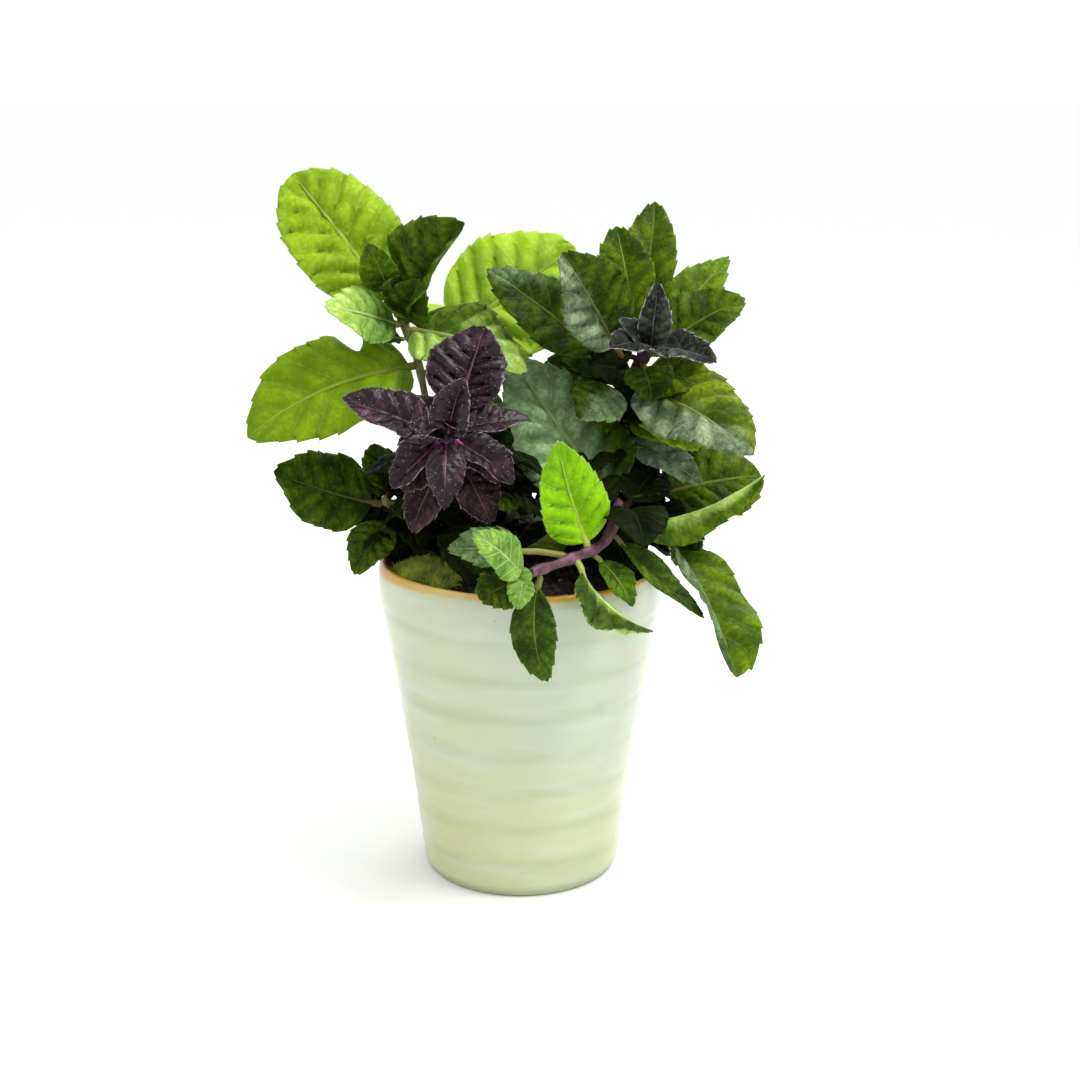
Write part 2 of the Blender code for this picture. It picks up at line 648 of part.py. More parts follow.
def main():
    """Build the cup, what fills it, and the seven shoots."""
    clear_scene()
    build_pot()
    build_soil([build_socket(shoot) for shoot in SHOOTS])
    build_moss()
    for shoot in SHOOTS:
        build_stem(shoot)
        for leaf in shoot.leaves:
            build_leaf(shoot, leaf)
        if shoot.young:
            build_tip(shoot)


main()
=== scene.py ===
"""Looks of a small potted water mint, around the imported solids. Sizes in the tables are in millimetres."""

import math
from typing import NamedTuple

import bpy
import numpy as np
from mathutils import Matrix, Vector


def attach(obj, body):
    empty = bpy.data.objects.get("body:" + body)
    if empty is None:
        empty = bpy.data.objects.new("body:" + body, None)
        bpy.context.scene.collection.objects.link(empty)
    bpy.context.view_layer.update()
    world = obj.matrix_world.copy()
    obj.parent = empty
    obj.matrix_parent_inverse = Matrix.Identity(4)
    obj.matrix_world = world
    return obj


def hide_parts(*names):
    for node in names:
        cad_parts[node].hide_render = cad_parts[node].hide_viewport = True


bl_info = {
    "name": "Water mint in its pot",
    "version": (1, 0, 0),
    "blender": (4, 5, 0),
    "location": "3D View > Sidebar > Water mint",
    "description": "Detailed leaves, stems, soil, moss and glazed cup of a small potted water mint",
    "category": "Add Mesh",
}

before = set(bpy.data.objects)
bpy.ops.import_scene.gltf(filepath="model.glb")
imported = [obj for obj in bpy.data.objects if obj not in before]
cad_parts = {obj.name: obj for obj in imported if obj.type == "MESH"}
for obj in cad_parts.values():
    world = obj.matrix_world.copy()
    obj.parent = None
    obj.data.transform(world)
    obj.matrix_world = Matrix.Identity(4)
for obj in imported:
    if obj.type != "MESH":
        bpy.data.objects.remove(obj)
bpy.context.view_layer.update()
MM = 0.001

# Cup: heights with outer radii, then its wall, rounded edges and throwing rings
POT_HEIGHT = 58
POT_OUTLINE = ((0, 17.4), (3, 18.2), (11, 19.1), (19, 20), (27, 21.5), (35, 22.6), (42.5, 23.8), (50, 25.3),
               (54, 25.9), (58, 25.2))
POT_WALL = 2.2
POT_FLOOR = 4.0
FOOT_ROUNDING = 0.9
LIP_ROUNDING = 0.8
RIM_RISE = 0.5
RIM_RISE_HEADING = 200
LOWEST_RING = 6.3
RING_WAVE = 1.1
POT_SIDES = 161
POT_ROWS = 360

# Where the glaze changes, from and to, in metres: heights, places across, and the radius of the inner wall
YELLOW_BELOW = (0.036, 0.012)
YELLOW_SIDE = (0.012, -0.016)
RINGS_END = (0.054, 0.05)
# Painted shade at the foot: heights where it starts and where it is full
PAINTED_FOOT_SHADE = (0.0026, 0.0004)
LIP_LINE = (0.0567, 0.0576)
INNER_WALL = (0.0249, 0.0243)

# Marks in the glaze: middle, size, strength and colour
GLAZE_MARKS = (
    ((12.8, -20.3, 41.1), 0.5, 0.75, (0.1, 0.12, 0.1)),
    ((10.6, -21.4, 41.7), 0.35, 0.5, (0.14, 0.16, 0.13)),
    ((14.5, -19.0, 36.0), 2.6, 0.3, (0.26, 0.36, 0.32)),
    ((19.5, -14.5, 44.6), 2.0, 0.3, (0.6, 0.38, 0.16)),
)

# Soil and moss
SOIL_EDGE_HEIGHT = 54.6
SOIL_MOUND = 2.0
SOIL_LUMP = 0.35
SOIL_REACH = 23.3
MOSS_CENTRE = (-16.6, -8.0)
MOSS_RADIUS = (4.6, 4.2)
MOSS_HEIGHT = 3.0
THIN_MOSS_CENTRE = (-18.0, -6.5)
THIN_MOSS_RADIUS = 8.0
THIN_MOSS_HEIGHT = 2.5

# Stems
STEM_FOOT = 45
ROUTE_POINTS = 11
STEM_POINTS = 60
STEM_TAPER = 0.75
NODE_SWELLING = 0.22
NODE_LENGTH = 0.018
# Stems deep in the leaves get a darker copy of the purple stem colour as painted shade
PAINTED_SHADE_STEMS = ("dark", "low_right")
BUD_SIZE = 1.3

# Leaves: teeth and veins are placed by shares of a blade's length and of its half width
STALK_WIDTH = 1.1
LEAF_GAP = 0.6
FIRST_TOOTH = 0.05
LAST_TOOTH = 0.965
TOOTH_PHASES = (0.0, 0.35, 0.65, 0.86, 0.95)
TOOTH_LEAN = 0.16
VEIN_SLANT = 0.27
VEIN_BEND = 0.05
VEIN_STAGGER = 0.12
RIB_END = 0.93
BLADE_REACH = 0.975
BLADE_LEAN = 0.06
MIDDLE_WIDTH = 15
TOOTH_SHARPNESS = 7
NOTCH_WIDTH = 0.05
CREASE_ROUNDING = 0.4
EDGE_THINNING = 0.65
TIP_REACH = 0.05
TIP_THICKNESS = 0.06
PILLOW_FULLNESS = 1.9
PILLOW_START = 1.6
PILLOW_SINK = 0.45
RIPPLE_TURNS = (1.2, 2.0)
SIDE_PHASE = 1.9
RUMPLE = 0.022
HALF_COLUMNS = 13
SHADED_HALF_COLUMNS = 8
STALK_SIDES = 8
STALK_ROWS = 7
RIB_ROWS = 16
STALK_GIRTH = 0.3
STALK_GROWTH = 0.02
RIB_TAPER = 0.82
SKIN_MAP_SIZE = 10
TINT_BORDER = 0.35

# Depth of the fine relief of all surfaces, in metres
RELIEF_DEPTH = 0.0002

# Camera and light, in metres and degrees
CAMERA_PLACE = (0.0035, -0.290, 0.138)
CAMERA_PITCH = 14.8
CAMERA_LENS = 55.7
SENSOR_WIDTH = 36.0
LIGHT_TARGET = (0.0, 0.0, 0.07)
KEY_PLACE = (0.24, -0.1, 0.5)
KEY_SIZE = (0.2, 0.2)
KEY_COLOUR = (1.0, 0.98, 0.95)
BACK_PLACE = (0.3, 0.45, 0.4)
BACK_SIZE = (0.5, 0.4)
BACK_COLOUR = (1.0, 1.0, 1.0)
FLOOR_REACH = 40.0


class Leaf(NamedTuple):
    """One leaf: its place and shape as in the part's source, then its teeth, finish and fine shape.

    at is the share of the stem where it grows. points and faces are the heading and the rise of its tip and
    of its upper side. fold is the angle of its halves, and sides adds to the left and to the right one.
    notch is the place and the depth of a gap in its right edge. tint is a second finish, which takes over
    the blade from tint_start on in the direction tint_way.
    """

    name: str
    at: float
    points: tuple
    length: float
    width: float
    faces: tuple
    arch: float = 0.08
    sway: float = 0.0
    fold: float = 14
    cup: float = 0.0
    stalk: float = 1.5
    widest: float = 0.4
    tip: float = 0.85
    notch: tuple = (0, 0)
    teeth: int = 9
    finish: str = "green"
    wave: float = 0.8
    quilt: float = 1.0
    sides: tuple = (0, 0)
    tint: str = ""
    tint_way: float = 0
    tint_start: float = 0


class Shoot(NamedTuple):
    """A stem's route, radius and finish, its single leaves, and its bud's young leaves with their finish.

    rings are pairs of small leaves low on the stem: their finish, and their places along it. ring_size is
    their length and width. inner are single small leaves inside the plant.
    """

    name: str
    route: tuple
    radius: float
    finish: str
    leaves: tuple
    young: tuple = ()
    young_finish: str = "green"
    rings: tuple = ("shade", ())
    inner: tuple = ()
    ring_size: tuple = (15.5, 12)


TALL = Shoot(
    "tall",
    ((-10, 7, STEM_FOOT), (-10.6, 7, 57), (-14.2, 5.5, 73), (-16.6, 4.2, 85), (-18.2, 3.6, 93.5),
     (-20.6, 3.2, 100.5), (-22, 3, 104)),
    0.85, "green_stem",
    leaves=(
        Leaf("back", 0.985, (155, 47), 30, 20.5, (-80, 30), arch=0.05, fold=8, widest=0.46, tip=0.6,
             teeth=10, finish="bright", quilt=1.6, wave=0.6),
        Leaf("upright", 0.953, (-32, 50), 21.5, 20.5, (-120, 10), arch=0.04, fold=6, stalk=2, sides=(0, 52),
             teeth=8, finish="olive", quilt=1.2),
        Leaf("side", 0.93, (-144, 14), 16, 11.5, (-90, 42), arch=0.06, fold=6, stalk=0.8, teeth=7,
             finish="mint", quilt=1.3, tint="young", tint_way=-90, tint_start=-0.1),
        Leaf("under", 0.935, (178, 4), 9.5, 5.4, (-90, 50), fold=6, stalk=0.8, teeth=5, finish="lime"),
        Leaf("right", 0.9, (-18, -15), 23, 16.5, (-75, 45), arch=0.12, fold=8, stalk=0.3, widest=0.33,
             quilt=1.6, tint="mint", tint_way=20, tint_start=-0.3),
        Leaf("small", 0.885, (-152, 4), 6.8, 5, (-90, 60), fold=6, stalk=0.5, teeth=4),
        Leaf("low_left", 0.8, (-161, -20), 32.7, 19.5, (-85, 40), arch=0.16, fold=8, stalk=0.5, tip=0.7,
             notch=(0.24, 0.62), finish="lime", quilt=0.9),
        Leaf("low_right", 0.77, (27, -27), 19, 11, (-90, 55), teeth=7),
    ),
    young=(
        Leaf("left", 1, (-132, 60), 10, 7, (-100, 20), cup=0.2, stalk=0.3, teeth=6),
        Leaf("right", 1, (-85, 30), 5, 3.5, (-110, 50), fold=20, stalk=0.3, teeth=4),
    ),
    rings=("shade", (0.28, 0.4, 0.52, 0.62)),
    inner=(
        Leaf("right", 0.93, (-62, 48), 11, 9, (-100, 20), stalk=0.5, teeth=6, finish="dark"),
        Leaf("low", 0.95, (-110, 20), 7, 6, (-95, 40), stalk=0.3, teeth=5, finish="dark"),
    ),
)

BACK = Shoot(
    "back",
    ((-4, 14, STEM_FOOT), (-5, 15, 57), (-10, 18, 76), (-14, 20, 92), (-14.5, 20.5, 96.5)),
    0.8, "green_stem",
    leaves=(
        Leaf("large", 0.97, (7, 34), 29.5, 24, (-80, 25), arch=0.04, fold=6, tip=0.65, teeth=10,
             finish="pale", quilt=1.4),
        Leaf("rear", 0.95, (130, 25), 17, 12, (90, 70), arch=0.14, teeth=7, finish="pale"),
    ),
    rings=("dark", (0.22, 0.3, 0.38, 0.46, 0.54, 0.64)),
    ring_size=(18, 13),
)

PURPLE = Shoot(
    "purple",
    ((-4, -6, STEM_FOOT), (-4.6, -6.2, 57), (-8.5, -9, 70), (-11.5, -12.5, 80.5), (-12, -16, 84.3),
     (-11.8, -20, 84.2)),
    0.9, "purple_stem",
    leaves=(
        Leaf("top", 0.9, (52, 60), 19.5, 14.5, (-100, 25), arch=-0.04, stalk=3.5, tip=0.75, finish="purple",
             quilt=1.3),
        Leaf("left", 0.88, (177, 20), 18.8, 10.5, (-90, 55), arch=0, fold=24, teeth=8, finish="purple"),
        Leaf("right", 0.9, (16, 6), 14.5, 7.5, (-90, 60), arch=0.06, fold=26, stalk=1, teeth=7,
             finish="purple"),
        Leaf("front_left", 0.945, (-151, -38), 13, 8.5, (-100, 55), arch=0.04, fold=30, stalk=1, teeth=7,
             finish="purple", wave=1),
        Leaf("front_right", 0.955, (-10, -35), 13.7, 8.2, (-80, 55), fold=30, stalk=1, teeth=7,
             finish="purple", wave=1),
        Leaf("low_left", 0.8, (-143, -58), 15.5, 8, (-95, 45), arch=0.1, teeth=7, finish="brown"),
        Leaf("low_right", 0.76, (-42, -50), 13, 8.5, (-75, 45), arch=0.1, teeth=7, finish="brown"),
        Leaf("under", 0.84, (-140, -35), 12, 8, (-95, 45), arch=0.1, teeth=6, finish="brown"),
    ),
    young=(
        Leaf("up", 1, (-44, 68), 11.3, 8.5, (-100, 20), fold=32, stalk=0.3, teeth=7),
        Leaf("down", 1, (-90, -48), 13.3, 7.5, (-90, 40), arch=0.2, fold=-30, stalk=0.3, teeth=7),
        Leaf("left", 1, (178, 20), 6.5, 5, (-90, 60), fold=24, stalk=0.3, teeth=5),
    ),
    young_finish="purple",
    rings=("shade", (0.4, 0.6, 0.5, 0.74)),
    inner=(
        Leaf("olive", 0.86, (33, 12), 15, 6, (-100, 70), arch=0.12, fold=-20, stalk=1, teeth=6,
             finish="olive", wave=1.4),
        Leaf("left", 0.86, (131, 20), 14, 8, (-90, 55), arch=0.14, stalk=1, teeth=6, finish="brown"),
        Leaf("right", 0.85, (-12, -32), 12, 7.5, (-80, 50), arch=0.12, stalk=1, teeth=6, finish="brown",
             wave=1.4),
        Leaf("yellow", 0.6, (20, -10), 11, 6, (-90, 30), teeth=5, finish="bright"),
        Leaf("curl", 0.97, (-65, 15), 7.5, 5.5, (-95, 55), arch=0.15, fold=40, stalk=0.3, teeth=5,
             finish="purple"),
        Leaf("cup", 0.97, (-125, 5), 7, 5, (-90, 60), arch=0.15, fold=44, stalk=0.3, teeth=5,
             finish="purple"),
        Leaf("side", 0.93, (175, -12), 8.5, 6, (-90, 50), arch=0.1, fold=20, stalk=0.5, teeth=6,
             finish="purple"),
        Leaf("behind", 0.8, (123, -35), 22, 12, (-90, 40), arch=0.1, stalk=2, teeth=7, finish="shade"),
        Leaf("beside", 0.79, (45, -25), 21, 13, (-90, 40), arch=0.1, stalk=2, teeth=7, finish="shade"),
    ),
)

LOW_LEFT = Shoot(
    "low_left",
    ((-14, 2, STEM_FOOT), (-15.2, 1.8, 57), (-20, -0.5, 64), (-24, -3.5, 70)),
    0.8, "green_stem",
    leaves=(
        Leaf("large", 0.97, (-167, 18), 20.5, 15.5, (-85, 40), arch=-0.08, fold=6, teeth=8, finish="dark",
             quilt=0.8),
        Leaf("up", 0.95, (113, 51), 12, 8, (-60, 30), teeth=6, finish="dark"),
        Leaf("down", 0.86, (-131, -41), 14, 9, (-100, 50), arch=0.1, teeth=7, finish="dark"),
        Leaf("inner", 0.97, (-35, -12), 9, 7, (-80, 65), teeth=6, finish="dark"),
    ),
    rings=("shade", (0.6, 0.76, 0.92)),
    ring_size=(11.5, 9),
    inner=(
        Leaf("up", 0.95, (110, 30), 11, 9, (-80, 30), stalk=1, teeth=6, finish="dark"),
        Leaf("back", 0.9, (60, 20), 11, 9, (-90, 30), stalk=1, teeth=6, finish="shade"),
        Leaf("left", 0.9, (150, -6), 10, 8, (-90, 30), stalk=1, teeth=6, finish="shade"),
        Leaf("right", 0.97, (79, -42), 12, 9, (-90, 25), stalk=0.5, teeth=6, finish="shade"),
        Leaf("end", 0.97, (50, 25), 8.5, 7.5, (-90, 30), stalk=0.5, teeth=5, finish="shade"),
        Leaf("rim", 0.6, (152, -23), 8.5, 6.5, (-90, 25), stalk=0.5, teeth=5, finish="shade"),
    ),
)

DARK = Shoot(
    "dark",
    ((11.5, 6, STEM_FOOT), (12, 6.2, 57), (15.5, 6.8, 74), (18.4, 6, 86), (20.6, 3, 92),
     (22.2, -1.5, 95.6)),
    1.1, "purple_stem",
    leaves=(
        Leaf("far_left", 0.845, (180, 37), 32, 13, (-85, 35), arch=0.05, stalk=7, finish="dark",
             tint="bluish", tint_way=60, tint_start=0.55),
        # The grey tints here paint the sheen of reflected light on part of the left and large_right leaves
        Leaf("left", 0.87, (-146, 54), 27, 15, (-66, 14), arch=0.05, stalk=6, finish="dark", quilt=1.2,
             tint="grey", tint_way=180, tint_start=0.1),
        Leaf("middle", 0.95, (130, 72), 23.6, 10.5, (-80, 8), arch=0.03, stalk=5, widest=0.5, teeth=7,
             tint="olive", tint_start=0.1),
        Leaf("top", 0.92, (76, 65), 30, 10, (-95, 15), arch=0.05, stalk=3, widest=0.55, teeth=8,
             finish="olive"),
        Leaf("back_right", 0.9, (41, 38), 29, 11, (-80, 45), arch=0.06, widest=0.35, tip=1, teeth=8,
             finish="meadow"),
        Leaf("right", 0.96, (9, 29), 20.5, 11.5, (-85, 45), stalk=3, teeth=8, finish="olive", tint="dark",
             tint_way=200, tint_start=0.35),
        Leaf("large_right", 0.82, (-43, -18), 29, 18, (-75, 45), arch=0.1, fold=8, stalk=1, widest=0.45,
             teeth=11, finish="khaki", quilt=1.2, tint="grey", tint_way=25, tint_start=0.1),
        Leaf("rear", 0.83, (143, 24), 17, 11.5, (-90, 35), arch=0.1, teeth=7, finish="dark"),
        Leaf("small", 0.83, (-134, -22), 14, 10.5, (-100, 38), arch=0.04, stalk=2.5, widest=0.45, teeth=6,
             tint="jade", tint_way=180, tint_start=-0.2),
        Leaf("low_right", 0.75, (-46, -19), 19, 10, (-75, 45), stalk=4, teeth=7, finish="bright"),
    ),
    young=(
        Leaf("up", 1, (-83, 68), 12.5, 7, (-90, -10), fold=34, stalk=0.3, teeth=6),
        Leaf("left", 1, (-129, 6), 12, 7.5, (-90, 50), fold=18, stalk=0.3, teeth=6),
        Leaf("right", 1, (-38, -6), 13.5, 8, (-80, 50), fold=24, stalk=0.3, teeth=6),
    ),
    young_finish="lavender",
    rings=("shade", (0.28, 0.38, 0.48, 0.58, 0.68)),
    inner=(
        Leaf("curled", 0.99, (-131, 40), 10.5, 5, (-80, 30), arch=0.2, fold=30, stalk=0.5, teeth=5,
             finish="lavender"),
        # This leaf is coloured all over with painted sheen
        Leaf("sheen", 0.64, (-44, -17), 21.5, 7.5, (-90, 50), stalk=3, teeth=7, finish="grey"),
        Leaf("lime", 0.7, (-38, -8), 17.5, 8, (-90, 40), stalk=2, teeth=6, finish="lime"),
        Leaf("left", 0.8, (172, 16), 15.5, 10.5, (-95, 40), arch=0.06, stalk=2, teeth=6, finish="dark"),
        Leaf("wedge", 0.85, (-22, 0), 15.5, 10, (-85, 45), arch=0.1, stalk=0.5, teeth=6, finish="khaki"),
        Leaf("below", 0.95, (-80, -40), 10, 9, (-85, 40), stalk=0.3, teeth=6, finish="dark"),
        Leaf("middle", 0.88, (-150, 10), 10, 8, (-90, 30), stalk=0.3, teeth=6, finish="shade"),
        Leaf("right", 0.74, (-50, -4), 12, 9, (-85, 40), stalk=1, teeth=6, finish="shade"),
        Leaf("behind", 0.93, (100, -63), 17, 11, (-90, 20), stalk=0.5, teeth=6, finish="shade"),
        Leaf("fill", 0.6, (171, -31), 17.5, 9, (-90, 30), stalk=3, teeth=6, finish="shade"),
        Leaf("top", 0.93, (150, 8), 10, 8, (-90, 25), stalk=0.5, teeth=5, finish="shade"),
        Leaf("low", 0.78, (95, -70), 14, 9, (-90, 20), stalk=0.5, teeth=6, finish="shade"),
    ),
)

FRONT = Shoot(
    "front",
    ((8.6, 4, STEM_FOOT), (10, 3, 57), (15.2, -2.5, 66), (17, -10, 70.4), (14.5, -18, 66), (8.4, -25, 64.7),
     (2, -32, 64.4)),
    1.05, "purple_stem",
    leaves=(
        Leaf("bright", 0.77, (-144, 72), 20.5, 12.5, (-70, 10), arch=-0.05, fold=8, stalk=0.2, widest=0.34,
             tip=0.95, finish="vivid", quilt=1.4),
        Leaf("long", 0.62, (8, 16), 27.5, 9.5, (-85, 70), arch=-0.1, fold=-52, widest=0.36, tint="mint",
             tint_way=180, tint_start=-0.25),
        Leaf("left", 0.85, (-166, 9), 20.4, 8.5, (-80, 50), arch=0.05, stalk=7.5, teeth=7, finish="bluish"),
        Leaf("round", 0.95, (-147, -14), 12.6, 8, (-90, 40), fold=-14, stalk=4.5, tip=0.65, teeth=6,
             finish="dark"),
        Leaf("hanging", 0.97, (-74, -72), 18, 7.5, (-90, 20), arch=0.05, sway=0.1, fold=8, widest=0.45,
             teeth=7, finish="forest", wave=1.1),
        Leaf("folded", 0.83, (-28, -36), 18, 12, (10, 55), arch=-0.1, fold=-32, tip=1, teeth=8,
             finish="mint", tint="forest", tint_start=0.1),
        Leaf("hidden", 0.76, (-36, -44), 12, 6.2, (-60, 60), arch=0.1, teeth=6),
        Leaf("big", 0.5, (146, 47), 33.5, 22, (-78, 38), arch=-0.02, fold=8, widest=0.3, teeth=11,
             finish="jade", quilt=1.3, tint="dark", tint_way=-30, tint_start=0.5),
        Leaf("drooping", 0.66, (-20, -38), 21.6, 6, (-60, 50), arch=-0.03, fold=30, teeth=8,
             finish="forest", tint="green", tint_start=0.4),
        Leaf("shade", 0.45, (154, 22), 20, 12, (-80, 50), teeth=7, finish="dark"),
    ),
    young=(
        Leaf("up", 1, (-148, 41), 12.5, 7.5, (-80, 40), fold=10, stalk=0.3, teeth=6),
        Leaf("low", 1, (-100, -40), 6.6, 4.5, (-90, 40), fold=10, stalk=0.3, teeth=5),
    ),
    young_finish="young",
    rings=("shade", (0.28, 0.37, 0.46, 0.56)),
    inner=(
        Leaf("green", 0.83, (118, -4), 14, 8, (-90, 50), stalk=2, teeth=6, finish="dark"),
        Leaf("back", 0.55, (60, 14), 16, 11, (-90, 40), arch=0.1, stalk=2, teeth=6, finish="shade"),
        Leaf("left", 0.6, (110, 18), 14, 9, (-90, 40), arch=0.1, stalk=2, teeth=6, finish="shade"),
    ),
)

LOW_RIGHT = Shoot(
    "low_right",
    ((19, 3, STEM_FOOT), (19.4, 2.6, 57), (22.5, 0.5, 65), (24.6, -1, 72)),
    0.8, "purple_stem",
    leaves=(
        Leaf("right", 0.93, (19, 5), 20.7, 19, (-85, 45), arch=0.06, stalk=0.8, tip=0.7, teeth=8,
             finish="olive"),
        Leaf("inner", 0.96, (-126, 2), 9.5, 8, (-80, 65), fold=20, teeth=6, finish="dark"),
        Leaf("hanging", 0.76, (-58, -40), 34.9, 16, (-60, 30), arch=0.1, fold=8, widest=0.52, tip=0.55,
             stalk=7, sides=(0, 40), finish="meadow", wave=1, tint="bluish", tint_way=-12, tint_start=0.15),
        Leaf("small", 0.86, (-28, -54), 14, 7, (-80, 40), stalk=6.5, teeth=6, finish="bluish"),
    ),
    rings=("shade", (0.55, 0.75, 0.92)),
    ring_size=(12.5, 9.5),
    inner=(
        Leaf("up", 0.9, (150, 60), 10, 7.5, (-80, 20), stalk=1, teeth=5, finish="shade"),
        Leaf("down", 0.88, (-60, -20), 9, 7, (-85, 40), stalk=1, teeth=5, finish="shade"),
    ),
)

SHOOTS = (TALL, BACK, PURPLE, LOW_LEFT, DARK, FRONT, LOW_RIGHT)
INNER_LEAF = Leaf("inner", 0.5, (0, 0), 12, 8, (90, 60), teeth=6)


class Finish(NamedTuple):
    """Colours and surface of one kind of leaf."""

    blade: tuple
    deep: tuple
    vein: tuple
    under: tuple
    rim: tuple
    stalk: tuple
    roughness: float = 0.46
    gloss: float = 0.07
    vein_share: float = 0.15
    glow: float = 0.2
    # specks: strength of the pale specks, partly hairs and partly painted glints of light
    specks: float = 0.0
    patches: tuple = (0.36, 0.62)
    slot: str = "green_leaf"


FINISHES = {
    "bright": Finish((0.31, 0.46, 0.022), (0.15, 0.265, 0.006), (0.44, 0.56, 0.1), (0.2, 0.32, 0.03),
                     (0.22, 0.36, 0.04), (0.26, 0.28, 0.04), slot="bright_leaf"),
    "lime": Finish((0.19, 0.305, 0.006), (0.1, 0.18, 0.002), (0.29, 0.38, 0.06), (0.15, 0.24, 0.02),
                   (0.14, 0.25, 0.02), (0.2, 0.22, 0.03), slot="bright_leaf"),
    "meadow": Finish((0.13, 0.22, 0.003), (0.028, 0.07, 0.001), (0.2, 0.3, 0.06), (0.1, 0.18, 0.02),
                     (0.09, 0.17, 0.02), (0.16, 0.18, 0.03), slot="bright_leaf"),
    "pale": Finish((0.36, 0.56, 0.07), (0.24, 0.41, 0.01), (0.42, 0.6, 0.1), (0.26, 0.42, 0.05),
                   (0.33, 0.5, 0.05), (0.26, 0.32, 0.06), slot="pale_leaf"),
    "mint": Finish((0.48, 0.66, 0.18), (0.2, 0.36, 0.04), (0.62, 0.76, 0.36), (0.3, 0.46, 0.12),
                   (0.34, 0.5, 0.14), (0.32, 0.38, 0.08), vein_share=0.3, slot="pale_leaf"),
    "young": Finish((0.28, 0.45, 0.09), (0.08, 0.19, 0.02), (0.46, 0.6, 0.24), (0.2, 0.34, 0.08),
                    (0.16, 0.28, 0.07), (0.3, 0.36, 0.08), vein_share=0.35, slot="pale_leaf"),
    "vivid": Finish((0.26, 0.52, 0.004), (0.14, 0.34, 0.002), (0.42, 0.62, 0.12), (0.24, 0.42, 0.04),
                    (0.34, 0.52, 0.08), (0.3, 0.4, 0.06), vein_share=0.4, slot="pale_leaf"),
    "green": Finish((0.1, 0.18, 0.003), (0.016, 0.045, 0.001), (0.2, 0.3, 0.05), (0.1, 0.18, 0.03),
                    (0.09, 0.16, 0.02), (0.2, 0.2, 0.04)),
    "forest": Finish((0.065, 0.12, 0.006), (0.01, 0.028, 0.002), (0.13, 0.2, 0.03), (0.06, 0.11, 0.02),
                     (0.06, 0.1, 0.02), (0.16, 0.16, 0.04)),
    "dark": Finish((0.075, 0.125, 0.002), (0.009, 0.024, 0.001), (0.1, 0.15, 0.02), (0.05, 0.08, 0.02),
                   (0.05, 0.08, 0.012), (0.1, 0.07, 0.02), slot="dark_leaf"),
    # shade: near-black leaves put inside the plant as painted shade between the lit leaves
    "shade": Finish((0.012, 0.02, 0.002), (0.003, 0.006, 0.001), (0.02, 0.03, 0.006), (0.01, 0.016, 0.004),
                    (0.012, 0.02, 0.006), (0.02, 0.014, 0.006), gloss=0.02, glow=0, slot="dark_leaf"),
    "olive": Finish((0.1, 0.15, 0.001), (0.016, 0.035, 0.001), (0.15, 0.2, 0.02), (0.07, 0.11, 0.01),
                    (0.08, 0.12, 0.008), (0.12, 0.1, 0.02), slot="dark_leaf"),
    "khaki": Finish((0.18, 0.25, 0.005), (0.035, 0.065, 0.002), (0.25, 0.3, 0.05), (0.1, 0.15, 0.02),
                    (0.1, 0.14, 0.02), (0.14, 0.12, 0.03), slot="dark_leaf"),
    "bluish": Finish((0.16, 0.25, 0.1), (0.025, 0.06, 0.016), (0.24, 0.34, 0.12), (0.12, 0.2, 0.06),
                     (0.12, 0.2, 0.07), (0.22, 0.22, 0.05), slot="bluish_leaf"),
    "jade": Finish((0.38, 0.56, 0.29), (0.09, 0.17, 0.065), (0.34, 0.46, 0.18), (0.14, 0.22, 0.07),
                   (0.16, 0.26, 0.1), (0.22, 0.22, 0.05), patches=(0.34, 0.7), slot="bluish_leaf"),
    # grey: a pale grey-green wash that paints the sheen of reflected light on leaves and leaf halves turned
    # to it
    "grey": Finish((0.29, 0.37, 0.22), (0.05, 0.085, 0.035), (0.3, 0.36, 0.22), (0.12, 0.16, 0.09),
                   (0.2, 0.22, 0.18), (0.14, 0.14, 0.06), slot="bluish_leaf"),
    "purple": Finish((0.09, 0.036, 0.06), (0.006, 0.001, 0.002), (0.06, 0.018, 0.045), (0.12, 0.07, 0.1),
                     (0.34, 0.27, 0.34), (0.25, 0.015, 0.16), roughness=0.36, glow=0, gloss=0.28,
                     specks=0.9, patches=(0.48, 0.72), slot="purple_leaf"),
    "brown": Finish((0.1, 0.06, 0.062), (0.014, 0.008, 0.008), (0.17, 0.09, 0.1), (0.12, 0.07, 0.08),
                    (0.3, 0.22, 0.25), (0.15, 0.06, 0.07), glow=0.1, specks=0.5, patches=(0.4, 0.68),
                    slot="brown_leaf"),
    "lavender": Finish((0.13, 0.15, 0.115), (0.008, 0.011, 0.007), (0.16, 0.14, 0.17), (0.2, 0.19, 0.23),
                       (0.5, 0.48, 0.56), (0.1, 0.05, 0.07), glow=0, specks=0.4, patches=(0.42, 0.68),
                       slot="grey_purple_leaf"),
}


def direction(heading, rise):
    """Unit vector for a compass heading and a rise above the horizontal, both in degrees."""
    h = math.radians(heading)
    r = math.radians(rise)
    return np.array((math.cos(h) * math.cos(r), math.sin(h) * math.cos(r), math.sin(r)))


def unit(vectors):
    """Vectors at length one, along the last axis."""
    return vectors / np.maximum(np.linalg.norm(vectors, axis=-1, keepdims=True), 1e-12)


def along_line(line, shares):
    """Points at shares of the length of a line of points."""
    runs = np.concatenate(([0.0], np.cumsum(np.linalg.norm(np.diff(line, axis=0), axis=1))))
    wanted = np.asarray(shares) * runs[-1]
    return np.stack([np.interp(wanted, runs, line[:, axis]) for axis in range(3)], -1)


